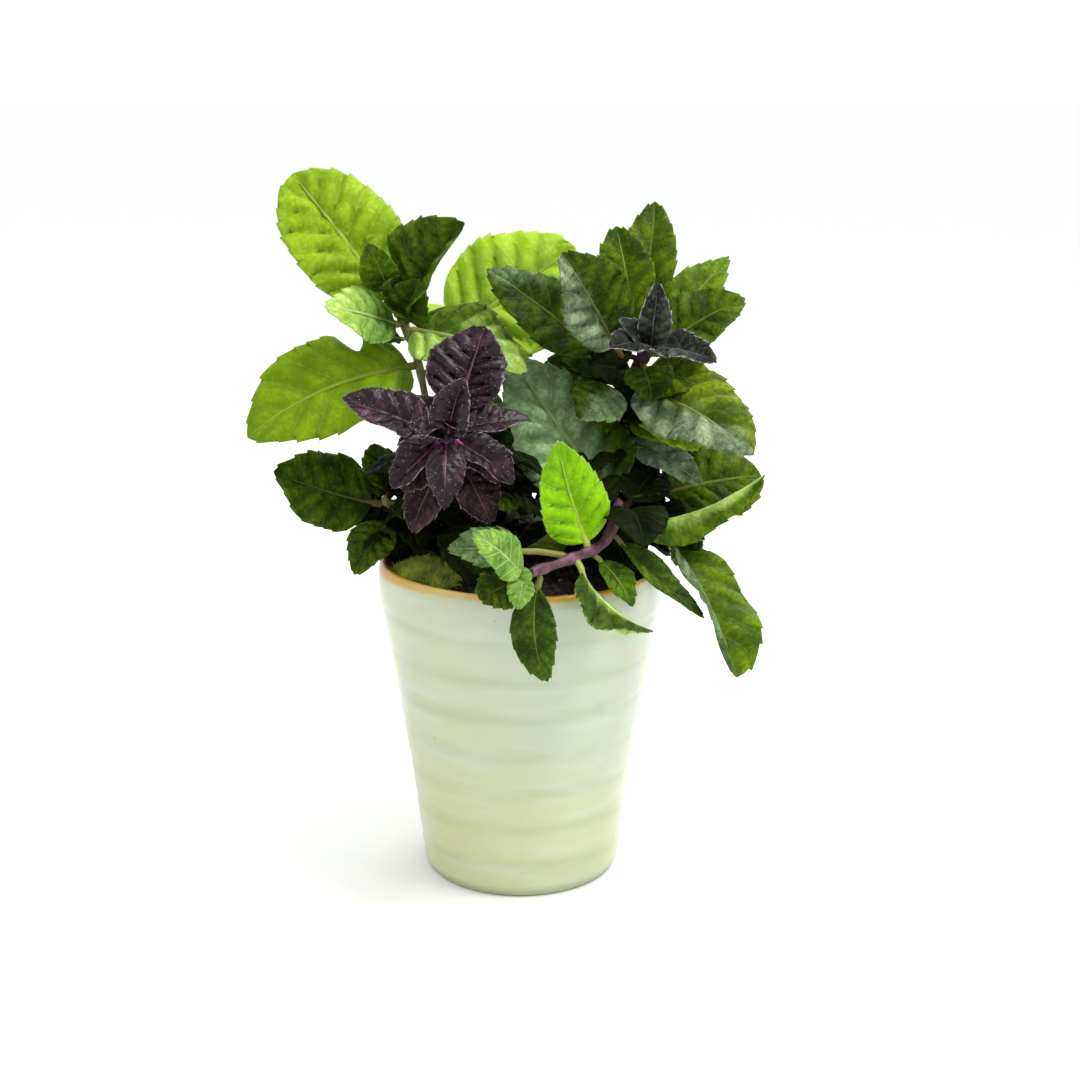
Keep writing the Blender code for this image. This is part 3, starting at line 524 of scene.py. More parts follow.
def smooth_route(points, count):
    """Evenly spaced points on a Catmull-Rom curve through the given points."""
    knots = np.array(points, dtype=float)
    knots = np.vstack((2 * knots[0] - knots[1], knots, 2 * knots[-1] - knots[-2]))
    fine = []
    for a, b, c, d in zip(knots, knots[1:], knots[2:], knots[3:]):
        for step in range(12):
            t = step / 12
            fine.append(0.5 * (2 * b + (c - a) * t + (2 * a - 5 * b + 4 * c - d) * t * t
                               + (3 * b - a - 3 * c + d) * t ** 3))
    fine.append(knots[-2])
    return along_line(np.array(fine), np.linspace(0, 1, count))


def stem_radius(shoot, share):
    """Radius of a stem at a share of its length: it thins towards the end."""
    return shoot.radius * (1 - (1 - STEM_TAPER) * share)


def leaf_ends(shoot, leaf):
    """Middle of the stem where a leaf leaves it, the start of its stalk, and its tip."""
    route = smooth_route(shoot.route, ROUTE_POINTS)
    centre = along_line(route, leaf.at)
    heading = direction(*leaf.points)
    along = unit(along_line(route, min(1, leaf.at + 0.02)) - along_line(route, leaf.at - 0.02))
    outward = heading - heading.dot(along) * along
    if leaf.at > 0.999 or np.linalg.norm(outward) < 0.2:
        outward = heading
    start = centre + unit(outward) * (stem_radius(shoot, leaf.at) + LEAF_GAP)
    return centre, start, centre + heading * leaf.length


def young_ends(shoot, leaf):
    """The same for a young leaf that grows from the bud at the end of a shoot."""
    route = smooth_route(shoot.route, ROUTE_POINTS)
    centre = route[-1] + unit(route[-1] - route[-2]) * (BUD_SIZE + 0.3)
    heading = direction(*leaf.points)
    return centre, centre + heading * (BUD_SIZE * 0.3), centre + heading * leaf.length


class Blade:
    """Curved frame of one leaf: its rib, and the directions along, across and up at any share of it."""

    def __init__(self, leaf, start, tip):
        chord = tip - start
        self.length = float(np.linalg.norm(chord))
        ahead = chord / self.length
        face = direction(*leaf.faces)
        self.face = unit(face - face.dot(ahead) * ahead)
        side = np.cross(ahead, self.face)
        self.start, self.tip = start, tip
        self.middle = (start + chord * 0.5 + self.face * (2 * leaf.arch * self.length)
                       + side * (2 * leaf.sway * self.length))

    def frame(self, share):
        """Rib point and the three directions for an array of shares of the length."""
        t = np.asarray(share)[:, None]
        rib = self.start * (1 - t) ** 2 + self.middle * (2 * t * (1 - t)) + self.tip * t ** 2
        along = unit((self.middle - self.start) * (1 - t) + (self.tip - self.middle) * t)
        across = unit(np.cross(along, self.face))
        return rib, along, across, np.cross(across, along)


class MeshParts:
    """Gathers leaf surfaces for one object: points, faces, two UV maps and two attributes."""

    def __init__(self):
        self.points, self.faces, self.blade, self.skin, self.under, self.stalk = [], [], [], [], [], []
        self.count = 0

    def add(self, points, faces, blade, skin, under, stalk):
        """Add one surface."""
        self.points.append(points)
        self.faces += [tuple(int(i) + self.count for i in face) for face in faces]
        self.blade.append(blade)
        self.skin.append(skin)
        self.under.append(under)
        self.stalk.append(stalk)
        self.count += len(points)

    def make(self, name, material):
        """One mesh object from everything that was added."""
        mesh = bpy.data.meshes.new(name)
        mesh.from_pydata(np.concatenate(self.points) * MM, [], self.faces)
        corners = np.empty(len(mesh.loops), dtype=np.int32)
        mesh.loops.foreach_get("vertex_index", corners)
        for label, values in (("blade", self.blade), ("skin", self.skin)):
            layer = mesh.uv_layers.new(name=label)
            layer.uv.foreach_set("vector", np.concatenate(values)[corners].astype(np.float32).ravel())
        for label, values in (("under", self.under), ("stalk", self.stalk)):
            attribute = mesh.attributes.new(label, "FLOAT", "POINT")
            attribute.data.foreach_set("value", np.concatenate(values).astype(np.float32))
        mesh.shade_smooth()
        mesh.validate()
        return piece_from(name, mesh, material)


def piece_from(name, mesh, material):
    """Object at the origin with one material, in the scene."""
    obj = bpy.data.objects.new(name, mesh)
    bpy.context.scene.collection.objects.link(obj)
    mesh.materials.clear()
    mesh.materials.append(material)
    return obj


def finish_piece(obj, slot, *nodes):
    """Let a finished piece ride on the body and stand for its nodes. Its slot is not used."""
    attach(obj, "root")
    if nodes:
        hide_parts(*nodes)


def leaf_outline(leaf, share):
    """Half width of the blade at a share of its length, as a part of the greatest half width."""
    fullness = leaf.tip * leaf.widest / (1 - leaf.widest)
    peak = leaf.widest ** fullness * (1 - leaf.widest) ** leaf.tip
    return np.maximum(share, 1e-6) ** fullness * np.maximum(1 - share, 0) ** leaf.tip / peak


def edge_rows(leaf, chance):
    """Shares of the length and heights of the teeth along one edge, with each tooth a little different."""
    steps = np.cumsum(np.concatenate(([0.0], chance.uniform(0.7, 1.3, leaf.teeth))))
    ends = FIRST_TOOTH + (LAST_TOOTH - FIRST_TOOTH) * steps / steps[-1]
    sizes = chance.uniform(0.45, 1.3, leaf.teeth)
    shares, heights = [0.0, 0.02], [0.0, 0.0]
    for start, end, size in zip(ends, ends[1:], sizes):
        for phase in TOOTH_PHASES:
            shares.append(start + (end - start) * phase)
            heights.append(size * phase ** 1.5)
    return np.array(shares + [LAST_TOOTH, 0.985]), np.array(heights + [0.0, 0.0])


def vein_pairs(leaf):
    """Pairs of side veins that a leaf has along its whole length."""
    return 4.0 + leaf.teeth * 0.25


def leaf_offset(number):
    """Where the first side vein of a leaf starts, different from leaf to leaf."""
    return number * 0.381 % 1


def skin_shift(number):
    """Where a leaf lies on the skin map, different from leaf to leaf."""
    return number * 0.37


def vein_distance(share, side, pairs, offset):
    """0 on a side vein and 1 half way to the next one, for a blade share and a signed place across it."""
    out = np.abs(side)
    bent = share - VEIN_SLANT * out + VEIN_BEND * out * out
    turns = bent * pairs + offset + VEIN_STAGGER * np.sign(side)
    part = turns - np.floor(turns)
    return np.minimum(part, 1 - part) * 2


def blade_lift(leaf, row, side, half, number, settings, chance):
    """Height of the blade above its rib by cupping, quilting, and the waves of its edge and its face."""
    out = np.abs(side)
    rise_and_fall = np.sin(np.pi * row)
    distance = vein_distance(row, side, vein_pairs(leaf), leaf_offset(number))
    swelling = (1 - (1 - distance) ** PILLOW_FULLNESS) * np.clip(out * half / PILLOW_START, 0, 1)
    pillow = swelling * (1 - 0.95 * out ** 4)
    relief = settings.quilting / MM * leaf.quilt * (half / 8) ** 0.8 * (pillow - PILLOW_SINK)
    turns = chance.uniform(*RIPPLE_TURNS)
    phase = chance.uniform(0, 6.28) + np.where(side > 0, SIDE_PHASE, 0.0)
    wave = np.sin(2 * np.pi * turns * row + phase)
    ripple = leaf.wave * (leaf.width / 12) * wave * out ** 2 * rise_and_fall
    rumple = RUMPLE * leaf.width * np.sin(5.1 * row + 2.2 * side + phase * 1.7) * rise_and_fall
    return leaf.cup * side ** 2 * half + relief + ripple + rumple


def sheet_faces(rows, columns):
    """Faces of a closed thin sheet: a grid on top, the same below it, and two tip points that end both."""
    size = rows * columns
    grid = np.arange(size).reshape(rows, columns)
    a, b = grid[:-1, :-1].ravel(), grid[:-1, 1:].ravel()
    c, d = grid[1:, 1:].ravel(), grid[1:, :-1].ravel()
    faces = list(np.stack((a, b, c, d), 1)) + list(np.stack((d, c, b, a), 1) + size)
    left, right = grid[:, 0], grid[:, -1]
    faces += [(p, q, q + size, p + size) for p, q in zip(left, left[1:])]
    faces += [(q, p, p + size, q + size) for p, q in zip(right, right[1:])]
    faces += [(p, p + size, q + size, q) for p, q in zip(grid[0], grid[0, 1:])]
    high_tip, low_tip = 2 * size, 2 * size + 1
    faces += [(p, q, high_tip) for p, q in zip(grid[-1], grid[-1, 1:])]
    faces += [(q + size, p + size, low_tip) for p, q in zip(grid[-1], grid[-1, 1:])]
    faces += [(left[-1], high_tip, low_tip, left[-1] + size)]
    return faces + [(high_tip, right[-1], right[-1] + size, low_tip)]


def add_leaf(parts, leaf, ends, settings, number):
    """Add a leaf's blade and its stalk with the rib under the blade."""
    centre, start, tip = ends
    blade = Blade(leaf, start, tip)
    chance = np.random.default_rng(number)
    stalk_share = leaf.stalk / blade.length
    edges = [edge_rows(leaf, chance) for _ in range(2)]
    share = (edges[0][0] + edges[1][0]) / 2
    half_columns = SHADED_HALF_COLUMNS if leaf.finish == "shade" else HALF_COLUMNS
    place = np.linspace(-1, 1, 2 * half_columns + 1)
    side, row = np.meshgrid(place, share)
    out = np.abs(side)
    edge = out ** TOOTH_SHARPNESS
    right = side > 0
    near = np.where(right, edges[1][0][:, None], edges[0][0][:, None])
    tooth = np.where(right, edges[1][1][:, None], edges[0][1][:, None])
    row = row + (near - row) * out ** 2
    rib, along, across, upward = blade.frame(stalk_share + (1 - stalk_share) * share)
    lean = 1 + chance.uniform(-BLADE_LEAN, BLADE_LEAN) * np.sign(side)
    half = np.maximum(leaf.width / 2 * leaf_outline(leaf, row) * BLADE_REACH, STALK_WIDTH / 2 * (1 - row))
    notch_place, notch_depth = leaf.notch
    half = half * (1 - notch_depth * np.exp(-((row - notch_place) / NOTCH_WIDTH) ** 2) * right * out ** 2)
    tooth_size = settings.tooth_depth / MM * (leaf.width / MIDDLE_WIDTH) ** 0.5
    tooth_size = tooth_size * np.sqrt(np.sin(np.pi * np.clip(row, 0, 1)))
    flat = half * out * lean + tooth * tooth_size * edge
    forward = tooth * (blade.length / leaf.teeth) * TOOTH_LEAN * edge
    forward = forward + (row - share[:, None]) * blade.length * (1 - stalk_share)
    fold = np.radians(leaf.fold + np.where(side < 0, leaf.sides[0], leaf.sides[1]))
    crease = np.sqrt(flat ** 2 + CREASE_ROUNDING ** 2) - CREASE_ROUNDING
    lift = crease * np.sin(fold) + blade_lift(leaf, row, side, half, number, settings, chance)
    lateral = np.sign(side) * flat * np.cos(fold)
    surface = (rib[:, None, :] + across[:, None, :] * lateral[..., None]
               + upward[:, None, :] * lift[..., None] + along[:, None, :] * forward[..., None])
    normal = unit(np.cross(np.gradient(surface, axis=1), np.gradient(surface, axis=0)))
    thick = settings.thickness / MM / 2 * (1 - EDGE_THINNING * out ** 4)
    top = surface + normal * thick[..., None]
    low = surface - normal * thick[..., None]
    tip_rib, tip_along, _, tip_up = blade.frame([1.0])
    tip_point = tip_rib[0] + tip_along[0] * TIP_REACH
    tip_points = [tip_point + tip_up[0] * TIP_THICKNESS, tip_point - tip_up[0] * TIP_THICKNESS]
    points = np.concatenate((top.reshape(-1, 3), low.reshape(-1, 3), tip_points))
    map_blade = np.stack(((side * 0.5 + 0.5).ravel(), row.ravel()), 1)
    shift = skin_shift(number)
    map_skin = np.stack((lateral.ravel() / SKIN_MAP_SIZE + shift,
                         row.ravel() * blade.length / SKIN_MAP_SIZE + shift), 1)
    tips = np.array(((0.5, 1.0), (0.5, 1.0)))
    map_blade = np.concatenate((map_blade, map_blade, tips))
    map_skin = np.concatenate((map_skin, map_skin, tips * blade.length / SKIN_MAP_SIZE + shift))
    under = np.concatenate((np.zeros(row.size), np.ones(row.size), [0.0, 1.0]))
    parts.add(points, sheet_faces(*row.shape), map_blade, map_skin, under, np.zeros(len(points)))
    add_stalk(parts, leaf, blade, centre, shift, settings)


def tube_faces(rows, sides, foot, end):
    """Faces of a closed tube of rings, with the numbers of its foot point and its end point."""
    grid = np.arange(rows * sides).reshape(rows, sides)
    nexts = np.roll(grid, -1, axis=1)
    faces = list(np.stack((grid[:-1], grid[1:], nexts[1:], nexts[:-1]), -1).reshape(-1, 4))
    faces += [(foot, p, q) for p, q in zip(grid[0], nexts[0])]
    return faces + [(end, q, p) for p, q in zip(grid[-1], nexts[-1])]


def add_stalk(parts, leaf, blade, centre, shift, settings):
    """Add the stalk from inside the stem, which goes on as the raised rib under the blade."""
    stalk_share = leaf.stalk / blade.length
    shares = np.concatenate((np.linspace(0, stalk_share, STALK_ROWS)[:-1],
                             np.linspace(stalk_share, RIB_END, RIB_ROWS)))
    rib, _, across, upward = blade.frame(shares)
    on_blade = np.clip((shares - stalk_share) / (RIB_END - stalk_share), 0, 1)
    girth = (STALK_GIRTH + STALK_GROWTH * leaf.width) * (1 - RIB_TAPER * on_blade)
    girth = girth * np.where(shares < stalk_share, 1.15, 1.0)
    depth = girth * 0.8 + settings.thickness / MM * 0.2
    sink = np.clip((shares - stalk_share * 0.6) / 0.12, 0, 1) * depth
    middle = np.concatenate((centre[None, :], rib - upward * sink[:, None]))
    across = np.concatenate((across[:1], across))
    upward = np.concatenate((upward[:1], upward))
    girth = np.concatenate((girth[:1] * 1.1, girth))
    turn = np.arange(STALK_SIDES) * 2 * np.pi / STALK_SIDES
    ring = (middle[:, None, :] + across[:, None, :] * (np.cos(turn)[None, :, None] * girth[:, None, None])
            + upward[:, None, :] * (np.sin(turn)[None, :, None] * girth[:, None, None] * 0.85))
    points = np.concatenate((ring.reshape(-1, 3), middle[:1], middle[-1:]))
    foot = len(points) - 2
    faces = tube_faces(len(middle), STALK_SIDES, foot, foot + 1)
    run = np.concatenate(([0.0], on_blade))
    run_points = np.concatenate((np.repeat(run, STALK_SIDES), [0.0, 1.0]))
    stalk = np.concatenate(([1.0], np.clip(1 - on_blade * 2.2, 0, 1)))
    stalk_points = np.concatenate((np.repeat(stalk, STALK_SIDES), [1.0, 0.0]))
    map_blade = np.stack((np.full(len(points), 0.5), run_points), 1)
    map_skin = np.stack((np.full(len(points), shift), run_points * blade.length / SKIN_MAP_SIZE + shift), 1)
    parts.add(points, faces, map_blade, map_skin, np.ones(len(points)), stalk_points)


def add_bud(parts, centre, size, number):
    """Add a small pointed bud of folded leaf tissue."""
    rows, sides, half_height = 9, 12, 1.15
    rise = np.linspace(-1, 1, rows)[1:-1]
    turn = np.arange(sides) * 2 * np.pi / sides
    girth = np.sqrt(1 - rise ** 2) * (1 - 0.25 * rise)
    ribs = 1 + 0.14 * np.cos(4 * turn)
    ring = np.stack((girth[:, None] * np.cos(turn) * ribs, girth[:, None] * np.sin(turn) * ribs,
                     np.repeat(rise[:, None] * half_height, sides, axis=1)), -1) * size + centre
    grid = np.arange(ring.shape[0] * sides).reshape(-1, sides)
    nexts = np.roll(grid, -1, axis=1)
    faces = list(np.stack((grid[:-1], nexts[:-1], nexts[1:], grid[1:]), -1).reshape(-1, 4))
    low, high = grid.size, grid.size + 1
    faces += [(low, q, p) for p, q in zip(grid[0], nexts[0])]
    faces += [(high, p, q) for p, q in zip(grid[-1], nexts[-1])]
    pole = np.array((0, 0, half_height * size))
    points = np.concatenate((ring.reshape(-1, 3), [centre - pole, centre + pole]))
    flat = np.stack((np.full(len(points), 0.7), (points[:, 2] - centre[2]) / size * 0.3 + 0.5), 1)
    parts.add(points, faces, flat, flat + skin_shift(number), np.zeros(len(points)), np.zeros(len(points)))


def feed(tree, node, values):
    """Set a node's inputs to values, or link them to sockets."""
    for key, value in values.items():
        if isinstance(value, bpy.types.NodeSocket):
            tree.links.new(value, node.inputs[key])
        else:
            node.inputs[key].default_value = value


def put(tree, kind, inputs=None, **settings):
    """New node with its settings, and its inputs set to values or linked to sockets."""
    node = tree.nodes.new(kind)
    for key, value in settings.items():
        setattr(node, key, value)
    feed(tree, node, inputs or {})
    return node


def calc(tree, operation, *values, clamp=False):
    """Result of one Math node."""
    inputs = dict(enumerate(values))
    return put(tree, "ShaderNodeMath", inputs, operation=operation, use_clamp=clamp).outputs[0]


def times(tree, first, second):
    """Product of two values."""
    return calc(tree, "MULTIPLY", first, second)


def vector_calc(tree, operation, inputs, output=0):
    """Result of one Vector Math node."""
    return put(tree, "ShaderNodeVectorMath", inputs, operation=operation).outputs[output]


def split(tree, vector):
    """The three parts of a vector."""
    return put(tree, "ShaderNodeSeparateXYZ", {0: vector}).outputs


def join(tree, x, y, z):
    """Vector from three parts."""
    return put(tree, "ShaderNodeCombineXYZ", {0: x, 1: y, 2: z}).outputs[0]


def noise(tree, place, scale, detail, roughness=0.5):
    """Soft noise from 0 to 1."""
    inputs = {"Vector": place, "Scale": scale, "Detail": detail, "Roughness": roughness}
    return put(tree, "ShaderNodeTexNoise", inputs).outputs[0]


def mix(tree, factor, first, second):
    """Colour between two colours."""
    return put(tree, "ShaderNodeMix", {0: factor, 6: first, 7: second}, data_type="RGBA").outputs[2]


def ramp(tree, value, low, high, start=0.0, end=1.0):
    """Value stretched smoothly from one range to another."""
    node = put(tree, "ShaderNodeMapRange", {0: value, 1: low, 2: high, 3: start, 4: end},
               interpolation_type="SMOOTHSTEP")
    return node.outputs[0]


def dots(tree, place, scale, rarity):
    """Small round dots in some cells of a pattern. rarity is the share of the cells without one."""
    cells = put(tree, "ShaderNodeTexVoronoi", {"Vector": place, "Scale": scale}).outputs
    pick = put(tree, "ShaderNodeSeparateColor", {0: cells["Color"]}).outputs[0]
    dot = ramp(tree, cells["Distance"], 0.1, 0.2, 1.0, 0.0)
    return times(tree, dot, calc(tree, "GREATER_THAN", pick, rarity))


def bump(tree, height, strength):
    """Normal of a surface with fine relief."""
    inputs = {"Height": height, "Strength": strength, "Distance": RELIEF_DEPTH}
    return put(tree, "ShaderNodeBump", inputs).outputs[0]


def blade_map(tree):
    """Place across and along a leaf's blade, each from 0 to 1."""
    return split(tree, put(tree, "ShaderNodeUVMap", uv_map="blade").outputs[0])


def object_place(tree):
    """Place in the object's own coordinates."""
    return put(tree, "ShaderNodeTexCoord").outputs["Object"]


def attribute(tree, name):
    """Value of a mesh attribute."""
    return put(tree, "ShaderNodeAttribute", attribute_name=name).outputs["Fac"]


def ring_distance(tree, height, lowest, pitch):
    """Distance of a height from the nearest throwing ring, as a share of the pitch."""
    turns = calc(tree, "DIVIDE", calc(tree, "SUBTRACT", height, lowest), pitch)
    return calc(tree, "ABSOLUTE", calc(tree, "SUBTRACT", turns, calc(tree, "ROUND", turns)))


def new_group(name, inputs, outputs, kind="ShaderNodeTree"):
    """Node group, its inputs and its output node. An input is given by its default or its socket type."""
    tree = bpy.data.node_groups.new(name, kind)
    for label, value in inputs.items():
        socket = {int: "NodeSocketInt", float: "NodeSocketFloat"}.get(type(value), value)
        made = tree.interface.new_socket(name=label, in_out="INPUT", socket_type=socket)
        if socket != value:
            made.default_value = value
    for label, socket in outputs.items():
        tree.interface.new_socket(name=label, in_out="OUTPUT", socket_type=socket)
    return tree, tree.nodes.new("NodeGroupInput").outputs, tree.nodes.new("NodeGroupOutput")


def geometry_group(name, inputs):
    """Geometry node group that takes a geometry, its own inputs and a material."""
    inputs = {"Geometry": "NodeSocketGeometry", **inputs, "Material": "NodeSocketMaterial"}
    return new_group(name, inputs, {"Geometry": "NodeSocketGeometry"}, "GeometryNodeTree")


def mask_group(name, inputs, outputs):
    """Shader node group that gives values."""
    return new_group(name, inputs, dict.fromkeys(outputs, "NodeSocketFloat"))


def shared_group(name, build):
    """Shared node group of that name, built on first use."""
    return bpy.data.node_groups.get(name) or build(name)


def use_group(tree, group, values):
    """Outputs of a shared shader group placed in a tree."""
    node = put(tree, "ShaderNodeGroup", node_tree=group)
    feed(tree, node, values)
    return node.outputs


def rgba(colour):
    """Colour with full alpha."""
    return (*colour, 1.0)


def build_veins(name):
    """Masks of the rib, side veins and edge, and the distance from a side vein, from a leaf's blade map."""
    tree, given, result = mask_group(name, {"Pairs": 7.0, "Offset": 0.0, "Width": 0.1},
                                     ("Rib", "Veins", "Edge", "Side"))
    parts = blade_map(tree)
    side = calc(tree, "MULTIPLY_ADD", parts[0], 2.0, -1.0)
    out = calc(tree, "ABSOLUTE", side)
    bent = calc(tree, "MULTIPLY_ADD", times(tree, out, out), VEIN_BEND, times(tree, out, -VEIN_SLANT))
    turns = times(tree, calc(tree, "ADD", parts[1], bent), given["Pairs"])
    turns = calc(tree, "ADD", turns, given["Offset"])
    turns = calc(tree, "MULTIPLY_ADD", calc(tree, "SIGN", side), VEIN_STAGGER, turns)
    part = calc(tree, "FRACT", turns)
    distance = times(tree, calc(tree, "MINIMUM", part, calc(tree, "SUBTRACT", 1.0, part)), 2.0)
    thin = times(tree, given["Width"], calc(tree, "MULTIPLY_ADD", out, -0.55, 1.0))
    rib_width = calc(tree, "MULTIPLY_ADD", parts[1], -0.035, 0.055)
    feed(tree, result, {
        "Rib": ramp(tree, calc(tree, "DIVIDE", out, rib_width), 0.35, 1.0, 1.0, 0.0),
        "Veins": ramp(tree, calc(tree, "DIVIDE", distance, thin), 0.25, 1.0, 1.0, 0.0),
        "Edge": ramp(tree, out, 0.93, 1.0),
        "Side": distance,
    })
    return tree


def build_skin(name):
    """Blotches, the fine net between the veins, pale specks for hairs and painted glints, grain and mottling,
    from a leaf's skin map.
    """
    tree, given, result = mask_group(name, {"Net Scale": 9.0, "Speck Scale": 26.0},
                                     ("Blotch", "Net", "Specks", "Grain", "Mottle"))
    place = put(tree, "ShaderNodeUVMap", uv_map="skin").outputs[0]
    warp = put(tree, "ShaderNodeTexNoise", {"Vector": place, "Scale": 6.0, "Detail": 1.0}).outputs["Color"]
    moved = vector_calc(tree, "MULTIPLY", {0: warp, 1: (0.06, 0.06, 0.06)})
    moved = vector_calc(tree, "ADD", {0: place, 1: moved})
    net = put(tree, "ShaderNodeTexVoronoi", {"Vector": moved, "Scale": given["Net Scale"]},
              feature="DISTANCE_TO_EDGE").outputs["Distance"]
    feed(tree, result, {
        "Blotch": noise(tree, place, 1.6, 4.0, 0.6),
        "Net": ramp(tree, net, 0.0, 0.22),
        "Specks": dots(tree, place, given["Speck Scale"], 0.72),
        "Grain": noise(tree, place, 45.0, 2.0),
        "Mottle": noise(tree, place, 13.0, 3.0, 0.6),
    })
    return tree


def new_material(name):
    """Material with node tree, the tree, and its Principled shader."""
    material = bpy.data.materials.new(name)
    material.use_nodes = True
    return material, material.node_tree, material.node_tree.nodes["Principled BSDF"]


def leaf_material(name, finish, blade_colour, leaf, number):
    """Leaf with veins, quilted net, painted shade in the hollows along the side veins, a thin edge and a
    paler underside.
    """
    material, tree, shader = new_material(name)
    veins = use_group(tree, shared_group("Leaf veins", build_veins),
                      {"Pairs": vein_pairs(leaf), "Offset": leaf_offset(number), "Width": 0.2})
    skin = use_group(tree, shared_group("Leaf skin", build_skin), {})
    colours = [rgba(blade_colour), rgba(finish.deep), rgba(finish.vein), rgba(finish.under)]
    if leaf.tint:
        tint = FINISHES[leaf.tint]
        place = blade_map(tree)
        way = math.radians(leaf.tint_way)
        reach = calc(tree, "MULTIPLY_ADD", place[0], 2 * math.cos(way), -math.cos(way) - math.sin(way))
        reach = calc(tree, "MULTIPLY_ADD", place[1], 2 * math.sin(way), reach)
        reach = calc(tree, "ADD", reach, calc(tree, "MULTIPLY_ADD", skin["Blotch"], 0.9, -0.45))
        share = ramp(tree, reach, leaf.tint_start - TINT_BORDER, leaf.tint_start + TINT_BORDER)
        others = (tint.blade, tint.deep, tint.vein, tint.under)
        colours = [mix(tree, share, colour, rgba(other)) for colour, other in zip(colours, others)]
    light, deep, vein, below = colours
    blotch = ramp(tree, skin["Blotch"], *finish.patches)
    colour = mix(tree, blotch, deep, light)
    # painted shade: the blade darkens towards each side vein, in the hollows of the quilting
    colour = mix(tree, ramp(tree, veins["Side"], 0.0, 0.7, 0.6, 0.0), colour, deep)
    colour = mix(tree, ramp(tree, skin["Mottle"], 0.56, 0.36, 0.0, 0.5), colour, deep)
    colour = mix(tree, ramp(tree, skin["Mottle"], 0.52, 0.7, 0.0, 0.4), colour, light)
    colour = mix(tree, times(tree, calc(tree, "SUBTRACT", 1.0, skin["Net"]), 0.3), colour, deep)
    line = calc(tree, "MAXIMUM", veins["Rib"], times(tree, veins["Veins"], finish.vein_share), clamp=True)
    colour = mix(tree, line, colour, vein)
    colour = mix(tree, times(tree, attribute(tree, "under"), 0.65), colour, below)
    edge = times(tree, veins["Edge"], ramp(tree, skin["Mottle"], 0.42, 0.6, 0.1, 0.8))
    colour = mix(tree, edge, colour, rgba(finish.rim))
    colour = mix(tree, attribute(tree, "stalk"), colour, rgba(finish.stalk))
    # pale specks: partly the pale hairs, partly painted glints of light
    if finish.specks:
        colour = mix(tree, times(tree, skin["Specks"], finish.specks), colour, (0.5, 0.48, 0.52, 1.0))
    height = calc(tree, "MULTIPLY_ADD", line, -0.5, times(tree, skin["Net"], 0.2))
    height = calc(tree, "MULTIPLY_ADD", skin["Grain"], 0.15, height)
    feed(tree, shader, {
        "Base Color": colour,
        "Roughness": calc(tree, "MULTIPLY_ADD", skin["Grain"], 0.22, finish.roughness - 0.08),
        "Normal": bump(tree, height, 0.45),
        "Specular IOR Level": finish.gloss,
        "Subsurface Weight": finish.glow,
        "Subsurface Radius": (0.8, 1.0, 0.3),
        "Subsurface Scale": 0.001,
    })
    return material


def end_geometry(tree, given, result, geometry):
    """Realize the instances in a geometry group, set its material and give the result."""
    whole = put(tree, "GeometryNodeRealizeInstances", {0: geometry}).outputs[0]
    inputs = {"Geometry": whole, "Material": given["Material"]}
    whole = put(tree, "GeometryNodeSetMaterial", inputs).outputs[0]
    tree.links.new(whole, result.inputs[0])
    return tree


